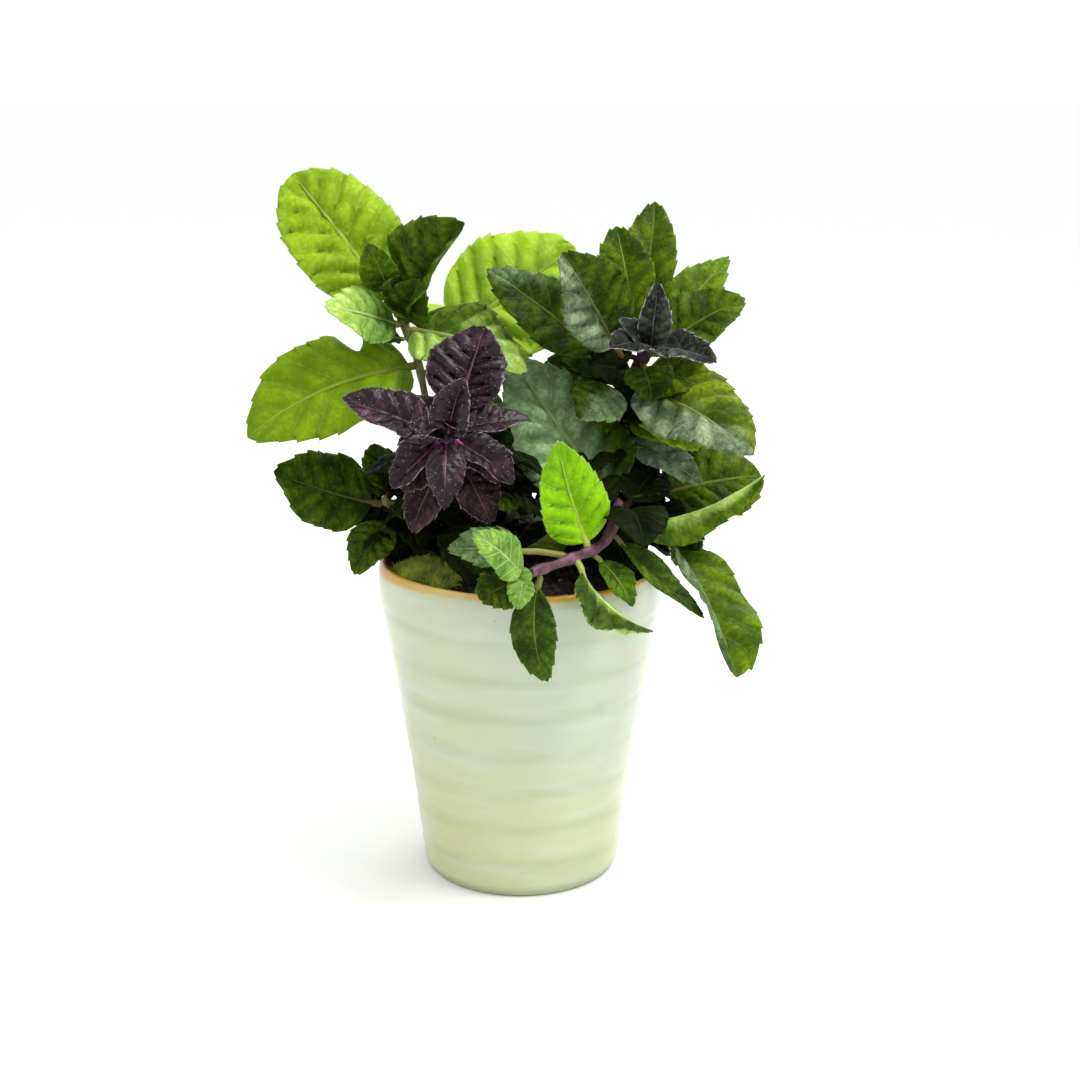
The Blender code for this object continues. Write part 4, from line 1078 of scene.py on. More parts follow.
def turned_group():
    """Geometry nodes: a profile line turned into a thrown cup with ridges and a slight wobble."""
    tree, given, result = geometry_group("Thrown cup", {
        "Sides": 144, "Rows": 300, "Outer Share": 0.5, "Ridge Depth": 0.0004, "Ridge Pitch": 0.0073,
        "Lowest Ridge": 0.0063, "Ridge Width": 0.0009, "Ridge Tilt": 0.0004, "Wobble": 0.0002,
        "Height": POT_HEIGHT * MM, "Rim Rise": 0.0005, "Rim Heading": 3.49})
    curve = put(tree, "GeometryNodeMeshToCurve", {0: given["Geometry"]}).outputs[0]
    grid = put(tree, "GeometryNodeMeshGrid", {"Size X": 1.0, "Size Y": 1.0, "Vertices X": given["Sides"],
                                              "Vertices Y": given["Rows"]}).outputs["Mesh"]
    spot = split(tree, put(tree, "GeometryNodeInputPosition").outputs[0])
    run = calc(tree, "ADD", spot[1], 0.5)
    angle = times(tree, calc(tree, "ADD", spot[0], 0.5), math.tau)
    sample = put(tree, "GeometryNodeSampleCurve", {"Curves": curve, "Factor": run}, mode="FACTOR")
    radius, _, height = split(tree, sample.outputs["Position"])
    cosine, sine = calc(tree, "COSINE", angle), calc(tree, "SINE", angle)
    tilt = calc(tree, "COSINE", calc(tree, "ADD", angle, RING_WAVE))
    tilted = calc(tree, "MULTIPLY_ADD", tilt, given["Ridge Tilt"], height)
    near = ring_distance(tree, tilted, given["Lowest Ridge"], given["Ridge Pitch"])
    near = calc(tree, "DIVIDE", times(tree, near, given["Ridge Pitch"]), given["Ridge Width"])
    dip = calc(tree, "EXPONENT", times(tree, times(tree, near, near), -1.0))
    fade = put(tree, "ShaderNodeMapRange", {0: height, 1: 0.003, 2: 0.006}).outputs[0]
    outside = times(tree, calc(tree, "LESS_THAN", run, given["Outer Share"]), fade)
    uneven = noise(tree, join(tree, cosine, sine, times(tree, height, 60.0)), 1.3, 2.0)
    sway = times(tree, calc(tree, "SUBTRACT", uneven, 0.5), given["Wobble"])
    change = calc(tree, "SUBTRACT", sway, times(tree, dip, given["Ridge Depth"]))
    radius = calc(tree, "MULTIPLY_ADD", times(tree, change, outside), 1.0, radius)
    share = calc(tree, "DIVIDE", height, given["Height"])
    high = put(tree, "ShaderNodeMapRange", {0: share, 1: 0.5, 2: 1.0})
    toward = calc(tree, "COSINE", calc(tree, "SUBTRACT", angle, given["Rim Heading"]))
    height = calc(tree, "MULTIPLY_ADD", times(tree, toward, high.outputs[0]), given["Rim Rise"], height)
    moved = join(tree, times(tree, radius, cosine), times(tree, radius, sine), height)
    cup = put(tree, "GeometryNodeSetPosition", {"Geometry": grid, "Position": moved}).outputs[0]
    cup = put(tree, "GeometryNodeMergeByDistance", {"Geometry": cup, "Distance": 0.000002}).outputs[0]
    cup = put(tree, "GeometryNodeSetShadeSmooth", {0: cup}).outputs[0]
    return end_geometry(tree, given, result, cup)


def spread(tree, points, shape, turns, seed, scale):
    """Instances of a shape on points, each turned at random between two sets of angles."""
    turn = put(tree, "FunctionNodeRandomValue", {0: turns[0], 1: turns[1], "Seed": seed},
               data_type="FLOAT_VECTOR").outputs[0]
    turned = put(tree, "FunctionNodeRotateRotation", {"Rotation": points["Rotation"], "Rotate By": turn},
                 rotation_space="LOCAL").outputs[0]
    return put(tree, "GeometryNodeInstanceOnPoints", {"Points": points["Points"], "Instance": shape,
                                                      "Rotation": turned, "Scale": scale}).outputs[0]


def random_size(tree, low, high, seed):
    """Random number for each point."""
    return put(tree, "FunctionNodeRandomValue", {2: low, 3: high, "Seed": seed}, data_type="FLOAT").outputs[1]


def stem_group():
    """Geometry nodes: a line swept into a square stem, with fine hairs on it."""
    tree, given, result = geometry_group("Square stem", {
        "Squareness": 3.4, "Hair Length": 0.0005, "Hair Width": 0.00003, "Hair Density": 400000.0,
        "Seed": 1})
    curve = put(tree, "GeometryNodeMeshToCurve", {0: given["Geometry"]}).outputs[0]
    girth = put(tree, "GeometryNodeInputNamedAttribute", {"Name": "girth"}, data_type="FLOAT").outputs[0]
    circle = put(tree, "GeometryNodeCurvePrimitiveCircle", {"Resolution": 20, "Radius": 1.0}).outputs[0]
    at = put(tree, "GeometryNodeInputPosition").outputs[0]
    powers = [calc(tree, "POWER", calc(tree, "ABSOLUTE", part), given["Squareness"])
              for part in list(split(tree, at))[:2]]
    grown = calc(tree, "POWER", calc(tree, "ADD", *powers), calc(tree, "DIVIDE", -1.0, given["Squareness"]))
    scaled = vector_calc(tree, "SCALE", {0: at, "Scale": times(tree, grown, 0.86)})
    square = put(tree, "GeometryNodeSetPosition", {"Geometry": circle, "Position": scaled}).outputs[0]
    stem = put(tree, "GeometryNodeCurveToMesh", {"Curve": curve, "Profile Curve": square, "Scale": girth,
                                                 "Fill Caps": True}).outputs[0]
    points = put(tree, "GeometryNodeDistributePointsOnFaces",
                 {"Mesh": stem, "Density": given["Hair Density"], "Seed": given["Seed"]}).outputs
    hair = put(tree, "GeometryNodeMeshCone", {
        "Vertices": 3, "Radius Top": 0.0, "Radius Bottom": given["Hair Width"],
        "Depth": given["Hair Length"]}).outputs["Mesh"]
    size = random_size(tree, 0.4, 1.2, 9)
    hairs = spread(tree, points, hair, ((-0.5, -0.5, 0.0), (0.5, 0.5, 6.28)), 5, size)
    both = put(tree, "GeometryNodeJoinGeometry").inputs[0]
    smooth = put(tree, "GeometryNodeSetShadeSmooth", {0: stem}).outputs[0]
    tree.links.new(hairs, both)
    tree.links.new(smooth, both)
    return end_geometry(tree, given, result, both.node.outputs[0])


def scatter_group(name, shape):
    """Geometry nodes: small shapes scattered over a surface. shape adds the shape's own nodes."""
    tree, given, result = geometry_group(name, {
        "Density": 1000000.0, "Size": 0.0006, "Spread": 0.6, "Tilt": 0.6, "Seed": 1})
    points = put(tree, "GeometryNodeDistributePointsOnFaces",
                 {"Mesh": given["Geometry"], "Density": given["Density"], "Seed": given["Seed"]}).outputs
    small = calc(tree, "SUBTRACT", 1.0, given["Spread"])
    large = calc(tree, "ADD", 1.0, given["Spread"])
    scale = random_size(tree, small, large, 3)
    less = times(tree, given["Tilt"], -1.0)
    turns = (join(tree, less, less, 0.0), join(tree, given["Tilt"], given["Tilt"], 6.28))
    many = spread(tree, points, shape(tree), turns, 7, times(tree, scale, given["Size"]))
    return end_geometry(tree, given, result, many)


def crumb_shape(tree):
    """Lumpy crumb of one unit."""
    ball = put(tree, "GeometryNodeMeshIcoSphere", {"Radius": 0.55, "Subdivisions": 1}).outputs[0]
    at = put(tree, "GeometryNodeInputPosition").outputs[0]
    growth = calc(tree, "MULTIPLY_ADD", noise(tree, at, 2.2, 1.0), 1.6, -0.8)
    push = vector_calc(tree, "SCALE", {0: at, "Scale": growth})
    return put(tree, "GeometryNodeSetPosition", {"Geometry": ball, "Offset": push}).outputs[0]


def strand_shape(tree):
    """Moss strand of one unit: a narrow cone that leans over."""
    cone = put(tree, "GeometryNodeMeshCone", {"Vertices": 4, "Side Segments": 4, "Radius Top": 0.02,
                                              "Radius Bottom": 0.11, "Depth": 1.0}).outputs["Mesh"]
    rise = split(tree, put(tree, "GeometryNodeInputPosition").outputs[0])[2]
    bend = join(tree, times(tree, times(tree, rise, rise), 0.35), 0.0, 0.0)
    return put(tree, "GeometryNodeSetPosition", {"Geometry": cone, "Offset": bend}).outputs[0]


def run_nodes(name, mesh, group, values, material):
    """Run a node group on a mesh and keep the result as a plain mesh object."""
    host = bpy.data.objects.new(name + "_host", mesh)
    bpy.context.scene.collection.objects.link(host)
    modifier = host.modifiers.new("Nodes", "NODES")
    modifier.node_group = group
    wanted = {**values, "Material": material}
    for item in group.interface.items_tree:
        if item.in_out == "INPUT" and item.name in wanted:
            modifier[item.identifier] = wanted[item.name]
    graph = bpy.context.evaluated_depsgraph_get()
    result = bpy.data.meshes.new_from_object(host.evaluated_get(graph))
    bpy.data.objects.remove(host)
    if not result.polygons:
        raise RuntimeError(name + " came out empty")
    result.name = name
    return piece_from(name, result, material)


def line_mesh(name, points, girth=None):
    """Mesh of one line of points, in metres, with an optional girth for each."""
    mesh = bpy.data.meshes.new(name)
    mesh.from_pydata(points, [(i, i + 1) for i in range(len(points) - 1)], [])
    if girth is not None:
        values = np.asarray(girth, np.float32)
        mesh.attributes.new("girth", "FLOAT", "POINT").data.foreach_set("value", values)
    return mesh


def pot_radius(height):
    """Outer radius of the cup at a height."""
    heights, radii = zip(*POT_OUTLINE)
    return float(np.interp(height, heights, radii))


def arc(centre, radius, first, last, count):
    """Points on a circle's arc in the profile's plane, by angles in degrees."""
    return [(centre[0] + radius * math.cos(math.radians(a)), centre[1] + radius * math.sin(math.radians(a)))
            for a in np.linspace(first, last, count)]


def pot_profile():
    """Profile of the cup from the foot's middle over the lip to the inner floor, and its outside's share."""
    foot = FOOT_ROUNDING
    outer = [(0.0, 0.0), (9.0, 0.0), (pot_radius(0) - foot, 0.0)]
    outer += arc((pot_radius(foot) - foot, foot), foot, -80, 0, 8)
    heights = np.linspace(foot + 0.6, POT_HEIGHT - 2.0, 40)
    smooth = np.convolve([pot_radius(h) for h in np.linspace(foot - 2.4, POT_HEIGHT + 1.0, 46)],
                         np.ones(7) / 7, mode="valid")
    outer += list(zip(smooth, heights))
    lip = LIP_ROUNDING
    top = (smooth[-1] - lip * 1.15, POT_HEIGHT - lip)
    over = arc(top, lip, 25, 180, 12)
    inner_heights = np.linspace(POT_HEIGHT - 2.2, POT_FLOOR + 4.0, 24)
    inner = [(pot_radius(h) - POT_WALL, h) for h in inner_heights]
    inner += arc((inner[-1][0] - 3.0, POT_FLOOR + 3.0), 3.0, 0, -90, 8)
    inner += [(6.0, POT_FLOOR), (0.0, POT_FLOOR)]
    profile = np.array([(r, 0.0, z) for r, z in outer + over + inner])
    runs = np.linalg.norm(np.diff(profile, axis=0), axis=1)
    return profile * MM, float(runs[:len(outer) + 2].sum() / runs.sum())


def soil_height(x, y):
    """Height of the soil's surface: a low mound with small lumps."""
    spread_out = np.minimum(1.0, np.hypot(x, y) / (SOIL_REACH + 0.3))
    lump = np.sin(0.55 * x + 1.3) * np.cos(0.62 * y - 0.4)
    mound = SOIL_MOUND * (1 - spread_out ** 2)
    return float(SOIL_EDGE_HEIGHT + mound + SOIL_LUMP * lump * (1 - spread_out ** 4))


def rough_height(x, y):
    """Fine unevenness of soil, the same on every run."""
    return (0.28 * math.sin(2.9 * x + 1.7 * y) * math.sin(2.3 * y - 1.1 * x)
            + 0.18 * math.sin(6.1 * x + 0.4) * math.sin(5.7 * y + 2.0))


def disc_mesh(name, rings, sides, place):
    """Round sheet of rings about a middle point. place gives a point for a share outwards and a turn."""
    turns = np.arange(sides) * 2 * np.pi / sides
    shares = np.linspace(0, 1, rings + 1)[1:]
    points = [place(0.0, 0.0)] + [place(share, turn) for share in shares for turn in turns]
    faces = [(0, 1 + i, 1 + (i + 1) % sides) for i in range(sides)]
    for r in range(rings - 1):
        low, high = 1 + r * sides, 1 + (r + 1) * sides
        faces += [(low + i, high + i, high + (i + 1) % sides, low + (i + 1) % sides)
                  for i in range(sides)]
    mesh = bpy.data.meshes.new(name)
    mesh.from_pydata(np.array(points) * MM, [], faces)
    mesh.shade_smooth()
    return mesh


def soil_place(reach, share, turn, roughness):
    """Point of the soil's surface at a share of a reach from the middle."""
    x, y = reach * share * math.cos(turn), reach * share * math.sin(turn)
    return x, y, soil_height(x, y) + rough_height(x, y) * roughness


def soil_body():
    """Closed body of soil: its rough top and its side down to the cup's floor."""
    sides, rings = 96, 24
    mesh = disc_mesh("soil", rings, sides,
                     lambda share, turn: soil_place(SOIL_REACH, share, turn, 1 - share ** 6))
    points = [tuple(v.co / MM) for v in mesh.vertices]
    faces = [tuple(p.vertices) for p in mesh.polygons]
    start = 1 + (rings - 1) * sides
    bottom = POT_FLOOR + 0.6
    for height in (30.0, POT_FLOOR + 4.0, bottom):
        reach = pot_radius(height) - POT_WALL - (3.4 if height == bottom else 0.5)
        new = len(points)
        points += [(reach * math.cos(math.tau * i / sides), reach * math.sin(math.tau * i / sides), height)
                   for i in range(sides)]
        faces += [(start + i, new + i, new + (i + 1) % sides, start + (i + 1) % sides)
                  for i in range(sides)]
        start = new
    points.append((0.0, 0.0, bottom))
    faces += [(start + i, len(points) - 1, start + (i + 1) % sides) for i in range(sides)]
    body = bpy.data.meshes.new("soil")
    body.from_pydata(np.array(points) * MM, [], faces)
    body.shade_smooth()
    bpy.data.meshes.remove(mesh)
    return body


def moss_place(share, turn):
    """Point of the cushion of moss."""
    wave = 1 + 0.09 * math.sin(3 * turn + 1) + 0.06 * math.cos(5 * turn)
    x = MOSS_CENTRE[0] + MOSS_RADIUS[0] * share * wave * math.cos(turn)
    y = MOSS_CENTRE[1] + MOSS_RADIUS[1] * share * wave * math.sin(turn)
    return x, y, soil_height(x, y) + 0.3 + (MOSS_HEIGHT - 1.0) * (1 - share ** 2.4) ** 0.8


def thin_moss_place(share, turn):
    """Point of the thin moss round the cushion, which stays inside the cup."""
    x = THIN_MOSS_CENTRE[0] + THIN_MOSS_RADIUS * share * math.cos(turn)
    y = THIN_MOSS_CENTRE[1] + THIN_MOSS_RADIUS * share * math.sin(turn)
    inward = min(1.0, SOIL_REACH * 0.98 / math.hypot(x, y))
    x, y = x * inward, y * inward
    return x, y, soil_height(x, y) + 0.2 + THIN_MOSS_HEIGHT * (1 - share ** 3)


def glaze_material(settings):
    """Celadon glaze, darker in the rings and yellower below, with painted shade at the foot, an ochre lip and
    a few small marks.
    """
    material, tree, shader = new_material("celadon_glaze")
    at = object_place(tree)
    x, _, z = split(tree, at)
    cloud = noise(tree, at, 55.0, 4.0, 0.55)
    stretched = put(tree, "ShaderNodeMapping", {"Vector": at, "Scale": (1.0, 1.0, 5.0)}).outputs[0]
    streak = noise(tree, stretched, 70.0, 3.0)
    uneven = calc(tree, "MULTIPLY_ADD", cloud, 0.9, -0.45)
    low = calc(tree, "ADD", ramp(tree, z, *YELLOW_BELOW, 0.0, 0.75), uneven)
    low = calc(tree, "ADD", low, ramp(tree, x, *YELLOW_SIDE, -0.15, 0.3), clamp=True)
    colour = mix(tree, low, rgba(settings.glaze), rgba(settings.glaze_low))
    colour = mix(tree, times(tree, ramp(tree, streak, 0.45, 0.7), 0.4), colour, rgba(settings.glaze_light))
    near = ring_distance(tree, z, LOWEST_RING * MM, settings.ridge_pitch)
    pool = times(tree, ramp(tree, near, 0.02, 0.3, 0.24, 0.0), ramp(tree, cloud, 0.3, 0.6))
    pool = times(tree, pool, ramp(tree, z, *RINGS_END))
    colour = mix(tree, pool, colour, rgba(settings.glaze_pool_and_foot_shade))
    # painted shade: the glaze darkens at the foot, where the cup meets the floor
    colour = mix(tree, times(tree, ramp(tree, z, *PAINTED_FOOT_SHADE), 0.7), colour, rgba(settings.glaze_pool_and_foot_shade))
    rim = calc(tree, "ADD", z, calc(tree, "MULTIPLY_ADD", cloud, 0.0012, -0.0006))
    lip = times(tree, ramp(tree, rim, *LIP_LINE), ramp(tree, cloud, 0.3, 0.62, 0.6, 1.0))
    colour = mix(tree, lip, colour, rgba(settings.lip))
    colour = mix(tree, times(tree, dots(tree, at, 260.0, 0.985), 0.7), colour, (0.16, 0.17, 0.15, 1.0))
    for centre, size, strength, stain in GLAZE_MARKS:
        far = vector_calc(tree, "DISTANCE", {0: at, 1: [c * MM for c in centre]}, "Value")
        reach = calc(tree, "MULTIPLY_ADD", cloud, size * MM, far)
        share = ramp(tree, reach, size * MM * 0.7, size * MM * 1.6, strength, 0.0)
        colour = mix(tree, share, colour, rgba(stain))
    within = vector_calc(tree, "MULTIPLY", {0: at, 1: (1.0, 1.0, 0.0)})
    within = vector_calc(tree, "LENGTH", {0: within}, "Value")
    inside = times(tree, ramp(tree, within, *INNER_WALL, 0.0, 0.8), ramp(tree, z, *reversed(RINGS_END)))
    colour = mix(tree, inside, colour, rgba(settings.lip))
    feed(tree, shader, {
        "Base Color": colour,
        "Roughness": calc(tree, "MULTIPLY_ADD", cloud, 0.16, 0.26),
        "Normal": bump(tree, noise(tree, at, 300.0, 1.0), 0.1),
        "Coat Weight": 0.35,
        "Coat Roughness": 0.08,
        "Subsurface Weight": 0.25,
        "Subsurface Radius": (1.0, 1.1, 0.8),
        "Subsurface Scale": 0.002,
    })
    return material


def grained_material(name, light, dark, scale, roughness):
    """Rough matter in two colours, such as soil, moss or a stem."""
    material, tree, shader = new_material(name)
    at = object_place(tree)
    fine = noise(tree, at, scale * 7, 2.0)
    colour = mix(tree, ramp(tree, noise(tree, at, scale, 5.0, 0.7), 0.38, 0.66), rgba(dark), rgba(light))
    feed(tree, shader, {
        "Base Color": mix(tree, ramp(tree, fine, 0.55, 0.75, 0.0, 0.5), colour, rgba(light)),
        "Roughness": calc(tree, "MULTIPLY_ADD", fine, 0.2, roughness - 0.1),
        "Normal": bump(tree, fine, 0.5),
    })
    return material


def colour_property(name, description, default):
    """Colour setting."""
    return bpy.props.FloatVectorProperty(name=name, description=description, default=default, size=3,
                                         subtype="COLOR", min=0, max=1)


def number_property(name, description, default, unit="LENGTH"):
    """Number setting, which is a length in metres unless another unit is named."""
    return bpy.props.FloatProperty(name=name, description=description, default=default, min=0, unit=unit,
                                   precision=5)


class MintPotSettings(bpy.types.PropertyGroup):
    """Sizes and colours of the cup."""

    ridge_depth: number_property("Ridge depth", "Depth of the throwing rings", 0.00014)
    ridge_pitch: number_property("Ridge pitch", "Height from one ring to the next", 0.00733)
    wobble: number_property("Wobble", "Unevenness of the thrown wall", 0.0004)
    glaze: colour_property("Glaze", "Glaze on most of the wall", (0.445, 0.5, 0.362))
    glaze_low: colour_property("Lower glaze", "Yellower glaze on the lower wall", (0.475, 0.508, 0.265))
    glaze_light: colour_property("Light glaze", "Thin pale streaks", (0.52, 0.57, 0.48))
    # The pooled glaze colour also paints the shade at the foot
    glaze_pool_and_foot_shade: colour_property("Pooled glaze", "Glaze in the rings and at the foot", (0.26, 0.32, 0.16))
    lip: colour_property("Lip", "Ochre line on the lip", (0.52, 0.3, 0.018))


class MintLeafSettings(bpy.types.PropertyGroup):
    """Sizes of the leaves. The blade colour of every finish is added below."""

    thickness: number_property("Thickness", "Thickness of a blade", 0.00034)
    tooth_depth: number_property("Tooth depth", "Depth of the teeth on a middle-sized leaf", 0.00038)
    quilting: number_property("Quilting", "Height of the swellings between the veins", 0.0011)


for label, finish in FINISHES.items():
    MintLeafSettings.__annotations__[label] = colour_property(
        label.capitalize() + " leaves", "Blade of the leaves with the finish " + label, finish.blade)


class MintStemSettings(bpy.types.PropertyGroup):
    """Sizes and colours of the stems."""

    hair_length: number_property("Hair length", "Length of the fine hairs", 0.00045)
    hair_density: number_property("Hair density", "Hairs on a square metre of stem", 1800000.0, "NONE")
    green: colour_property("Green stems", "Lighter colour of the green stems", (0.2, 0.24, 0.05))
    purple: colour_property("Purple stems", "Lighter colour of the purple stems", (0.17, 0.065, 0.09))
    # darker copy of the purple stem colour, as painted shade
    dark: colour_property("Dark stems", "Lighter colour of the shaded purple stems", (0.05, 0.02, 0.03))


class MintSoilSettings(bpy.types.PropertyGroup):
    """Sizes and colours of the soil and the moss."""

    crumb_size: number_property("Crumb size", "Size of a soil crumb", 0.0011)
    crumb_density: number_property("Crumb density", "Crumbs on a square metre of soil", 900000.0, "NONE")
    grit_density: number_property("Grit density", "Pale grains on a square metre of soil", 6000.0, "NONE")
    strand_length: number_property("Strand length", "Length of a moss strand", 0.001)
    strand_density: number_property("Strand density", "Strands on a square metre of moss", 2.2e7, "NONE")
    soil: colour_property("Soil", "Lighter colour of the soil", (0.05, 0.035, 0.022))
    grit: colour_property("Grit", "Lighter colour of the few pale grains", (0.75, 0.66, 0.46))
    moss: colour_property("Moss", "Lighter colour of the moss", (0.74, 0.84, 0.13))


class MintStageSettings(bpy.types.PropertyGroup):
    """Floor and light."""

    floor: colour_property("Floor", "Colour of the floor", (0.93, 0.935, 0.935))
    key_power: number_property("Key light", "Power of the main soft light", 2.2, "POWER")
    back_power: number_property("Back light", "Power of the light from behind", 1.4, "POWER")
    fill: number_property("Fill", "Strength of the light from all round", 1.07, "NONE")


def leaf_number(leaf):
    """Number of a leaf in the whole plant, which varies its marks."""
    return [item for shoot in SHOOTS for item in shoot.leaves + shoot.young].index(leaf)


def make_leaves(shoot, settings):
    """One piece for each single leaf of a shoot."""
    for leaf in shoot.leaves:
        name = f"{shoot.name}_leaf_{leaf.name}"
        number = leaf_number(leaf)
        parts = MeshParts()
        add_leaf(parts, leaf, leaf_ends(shoot, leaf), settings, number)
        finish = FINISHES[leaf.finish]
        material = leaf_material(name, finish, getattr(settings, leaf.finish), leaf, number)
        finish_piece(parts.make(name + "_look", material), finish.slot, name)


def ring_leaves(shoot):
    """Pairs of small shaded leaves low on a stem, each pair turned across the one below."""
    finish, places = shoot.rings
    for k, at in enumerate(places):
        for turn in (0, 180):
            heading = 20 + 35 * SHOOTS.index(shoot) + 90 * k + turn
            yield Leaf("ring", at, (heading, -8 - 12 * (k % 3)), *shoot.ring_size, (heading, 60), arch=0.16,
                       fold=8, teeth=6, finish=finish)


def make_inner_leaves(settings):
    """The small leaves inside the plant, with one piece for each finish."""
    gathered = {}
    number = 0
    for shoot in SHOOTS:
        for leaf in (*ring_leaves(shoot), *shoot.inner):
            number += 1
            parts = gathered.setdefault(leaf.finish, MeshParts())
            add_leaf(parts, leaf, leaf_ends(shoot, leaf), settings, number)
    for label, parts in gathered.items():
        name = "inner_leaves_" + label
        material = leaf_material(name, FINISHES[label], getattr(settings, label), INNER_LEAF, number)
        finish_piece(parts.make(name, material), FINISHES[label].slot)


def make_tip(shoot, settings):
    """Bud and young leaves at the end of a shoot, as one piece."""
    parts = MeshParts()
    for leaf in shoot.young:
        number = leaf_number(leaf)
        ends = young_ends(shoot, leaf)
        add_leaf(parts, leaf, ends, settings, number)
    add_bud(parts, ends[0], BUD_SIZE * 0.9, number)
    finish = FINISHES[shoot.young_finish]
    name = shoot.name + "_shoot_tip"
    material = leaf_material(name, finish, getattr(settings, shoot.young_finish), leaf, number)
    finish_piece(parts.make(name + "_look", material), finish.slot, name)


class MINT_OT_pot(bpy.types.Operator):
    """Build the glazed cup"""

    bl_idname = "mint.pot"
    bl_label = "Cup"

    def execute(self, context):
        settings = context.scene.mint_pot
        profile, outer_share = pot_profile()
        values = {"Sides": POT_SIDES, "Rows": POT_ROWS, "Outer Share": outer_share,
                  "Ridge Depth": settings.ridge_depth, "Ridge Pitch": settings.ridge_pitch,
                  "Lowest Ridge": LOWEST_RING * MM, "Wobble": settings.wobble, "Rim Rise": RIM_RISE * MM,
                  "Rim Heading": math.radians(RIM_RISE_HEADING)}
        matter = glaze_material(settings)
        cup = run_nodes("pot_look", line_mesh("profile", profile), turned_group(), values, matter)
        finish_piece(cup, "glaze", "pot")
        return {"FINISHED"}


class MINT_OT_soil(bpy.types.Operator):
    """Build the soil, its crumbs and a few pale grains"""

    bl_idname = "mint.soil"
    bl_label = "Soil"

    def execute(self, context):
        settings = context.scene.mint_soil
        matter = grained_material("damp_soil", settings.soil, (0.012, 0.009, 0.007), 700.0, 0.9)
        finish_piece(piece_from("soil_look", soil_body(), matter), "soil", "soil")
        bed = disc_mesh("crumb_bed", 12, 48, lambda share, turn: soil_place(SOIL_REACH - 1, share, turn, 1))
        values = {"Density": settings.crumb_density, "Size": settings.crumb_size, "Spread": 0.6,
                  "Tilt": 3.0, "Seed": 4}
        crumbs = run_nodes("soil_crumbs", bed, scatter_group("Crumbs", crumb_shape), values, matter)
        finish_piece(crumbs, "soil")
        pale = grained_material("grit", settings.grit, (0.4, 0.32, 0.2), 700.0, 0.8)
        values = {"Density": settings.grit_density, "Size": settings.crumb_size * 1.4, "Spread": 0.3,
                  "Tilt": 3.0, "Seed": 2}
        grit = run_nodes("soil_grit", bed.copy(), scatter_group("Grit", crumb_shape), values, pale)
        finish_piece(grit, "soil")
        return {"FINISHED"}


class MINT_OT_moss(bpy.types.Operator):
    """Build the cushion of moss and the thin moss round it"""

    bl_idname = "mint.moss"
    bl_label = "Moss"

    def execute(self, context):
        settings = context.scene.mint_soil
        matter = grained_material("moss", settings.moss, (0.22, 0.32, 0.035), 260.0, 0.9)
        cushion = disc_mesh("moss_look", 10, 40, moss_place)
        values = {"Density": settings.strand_density, "Size": settings.strand_length, "Spread": 0.5,
                  "Tilt": 0.9, "Seed": 11}
        group = scatter_group("Strands", strand_shape)
        finish_piece(run_nodes("moss_strands", cushion.copy(), group, values, matter), "moss")
        thin = disc_mesh("moss_edge", 10, 40, thin_moss_place)
        finish_piece(run_nodes("moss_edge", thin, group, values, matter), "moss")
        finish_piece(piece_from("moss_look", cushion, matter), "moss", "moss")
        return {"FINISHED"}


class MINT_OT_stems(bpy.types.Operator):
    """Build the stems"""

    bl_idname = "mint.stems"
    bl_label = "Stems"

    def execute(self, context):
        settings = context.scene.mint_stems
        group = stem_group()
        colours = {"green_stem": (settings.green, (0.1, 0.1, 0.03)),
                   "purple_stem": (settings.purple, (0.05, 0.015, 0.03)),
                   "dark_stem": (settings.dark, (0.015, 0.008, 0.01))}
        matters = {name: grained_material(name, *pair, 320.0, 0.5) for name, pair in colours.items()}
        for number, shoot in enumerate(SHOOTS):
            points = smooth_route(shoot.route, STEM_POINTS)
            share = np.linspace(0, 1, STEM_POINTS)
            girth = stem_radius(shoot, share)
            for leaf in shoot.leaves:
                swelling = np.exp(-((share - leaf.at) / NODE_LENGTH) ** 2)
                girth = girth + NODE_SWELLING * shoot.radius * swelling
            values = {"Hair Length": settings.hair_length, "Hair Density": settings.hair_density,
                      "Seed": number}
            # the stems of these shoots take the painted shade copy
            matter = matters["dark_stem" if shoot.name in PAINTED_SHADE_STEMS else shoot.finish]
            line = line_mesh("line", points * MM, girth * MM)
            stem = run_nodes(shoot.name + "_stem_look", line, group, values, matter)
            finish_piece(stem, shoot.finish, shoot.name + "_stem")
        return {"FINISHED"}


class MINT_OT_leaves(bpy.types.Operator):
    """Build the single leaves of every shoot"""

    bl_idname = "mint.leaves"
    bl_label = "Leaves"

    def execute(self, context):
        for shoot in SHOOTS:
            make_leaves(shoot, context.scene.mint_leaves)
        return {"FINISHED"}


class MINT_OT_inner_leaves(bpy.types.Operator):
    """Build the small leaves inside the plant"""

    bl_idname = "mint.inner_leaves"
    bl_label = "Inner leaves"

    def execute(self, context):
        make_inner_leaves(context.scene.mint_leaves)
        return {"FINISHED"}


class MINT_OT_tips(bpy.types.Operator):
    """Build the buds with their young leaves"""

    bl_idname = "mint.tips"
    bl_label = "Shoot tips"

    def execute(self, context):
        for shoot in SHOOTS:
            if shoot.young:
                make_tip(shoot, context.scene.mint_leaves)
        return {"FINISHED"}


def soft_light(name, place, size, power, colour):
    """Square soft light that looks at the plant."""
    data = bpy.data.lights.new(name, "AREA")
    data.shape = "RECTANGLE"
    data.size, data.size_y = size
    data.energy = power
    data.color = colour
    light = bpy.data.objects.new(name, data)
    light.location = place
    light.rotation_euler = (Vector(LIGHT_TARGET) - Vector(place)).to_track_quat("-Z", "Y").to_euler()
    bpy.context.scene.collection.objects.link(light)


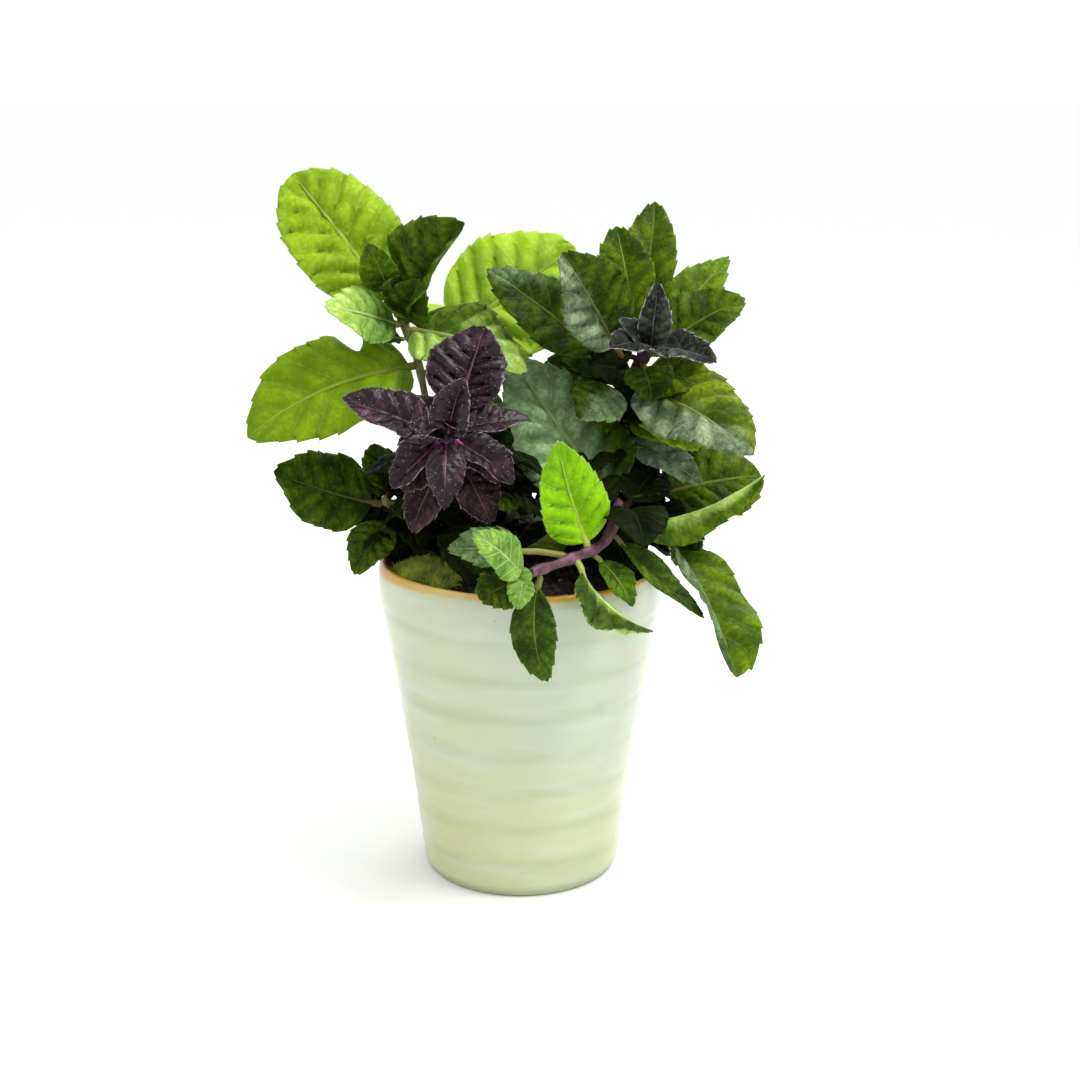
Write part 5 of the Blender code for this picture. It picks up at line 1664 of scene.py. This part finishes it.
def make_floor(settings):
    """Plain pale floor."""
    mesh = bpy.data.meshes.new("floor")
    corners = [(x * FLOOR_REACH, y * FLOOR_REACH, 0) for x, y in ((-1, -1), (1, -1), (1, 1), (-1, 1))]
    mesh.from_pydata(corners, [], [(0, 1, 2, 3)])
    material, tree, shader = new_material("floor")
    darker = rgba([c * 0.98 for c in settings.floor])
    feed(tree, shader, {
        "Base Color": mix(tree, noise(tree, object_place(tree), 20.0, 2.0), rgba(settings.floor), darker),
        "Roughness": 0.8,
        "Specular IOR Level": 0.1,
    })
    piece_from("floor", mesh, material)


def make_camera():
    """Camera at the height and tilt from which the plant was seen."""
    camera = bpy.data.objects.new("camera", bpy.data.cameras.new("camera"))
    camera.data.sensor_width = SENSOR_WIDTH
    camera.data.lens = CAMERA_LENS
    camera.data.clip_start, camera.data.clip_end = 0.01, 100.0
    camera.location = CAMERA_PLACE
    camera.rotation_euler = (math.radians(90 - CAMERA_PITCH), 0.0, 0.0)
    bpy.context.scene.collection.objects.link(camera)
    bpy.context.scene.camera = camera


class MINT_OT_stage(bpy.types.Operator):
    """Build the floor, the lights and the camera"""

    bl_idname = "mint.stage"
    bl_label = "Stage"

    def execute(self, context):
        settings = context.scene.mint_stage
        make_floor(settings)
        world = bpy.data.worlds.new("studio")
        world.use_nodes = True
        feed(world.node_tree, world.node_tree.nodes["Background"],
             {"Color": (1.0, 1.0, 1.0, 1.0), "Strength": settings.fill})
        context.scene.world = world
        soft_light("key", KEY_PLACE, KEY_SIZE, settings.key_power, KEY_COLOUR)
        soft_light("back", BACK_PLACE, BACK_SIZE, settings.back_power, BACK_COLOUR)
        context.scene.view_settings.view_transform = "Standard"
        make_camera()
        return {"FINISHED"}


class MINT_PT_panel(bpy.types.Panel):
    """Buttons and settings of the water mint"""

    bl_idname = "MINT_PT_panel"
    bl_label = "Water mint"
    bl_space_type = "VIEW_3D"
    bl_region_type = "UI"
    bl_category = "Water mint"

    def draw(self, context):
        for operator in OPERATORS:
            self.layout.operator(operator.bl_idname)
        for name in SETTINGS:
            group = getattr(context.scene, name)
            box = self.layout.box()
            for prop in group.bl_rna.properties:
                if prop.identifier not in ("name", "rna_type"):
                    box.prop(group, prop.identifier)


OPERATORS = (MINT_OT_pot, MINT_OT_soil, MINT_OT_moss, MINT_OT_stems, MINT_OT_leaves, MINT_OT_inner_leaves,
             MINT_OT_tips, MINT_OT_stage)
SETTINGS = {"mint_pot": MintPotSettings, "mint_leaves": MintLeafSettings, "mint_stems": MintStemSettings,
            "mint_soil": MintSoilSettings, "mint_stage": MintStageSettings}


def register():
    """Register the settings, the operators and the panel."""
    for name, group in SETTINGS.items():
        bpy.utils.register_class(group)
        setattr(bpy.types.Scene, name, bpy.props.PointerProperty(type=group))
    for item in (*OPERATORS, MINT_PT_panel):
        bpy.utils.register_class(item)


def unregister():
    """Take everything that register added away again."""
    for item in (MINT_PT_panel, *reversed(OPERATORS)):
        bpy.utils.unregister_class(item)
    for name, group in SETTINGS.items():
        delattr(bpy.types.Scene, name)
        bpy.utils.unregister_class(group)


def main():
    """Register the add-on and build every piece and the stage."""
    register()
    bpy.ops.mint.pot()
    bpy.ops.mint.soil()
    bpy.ops.mint.moss()
    bpy.ops.mint.stems()
    bpy.ops.mint.leaves()
    bpy.ops.mint.inner_leaves()
    bpy.ops.mint.tips()
    bpy.ops.mint.stage()


if __name__ == "__main__":
    main()
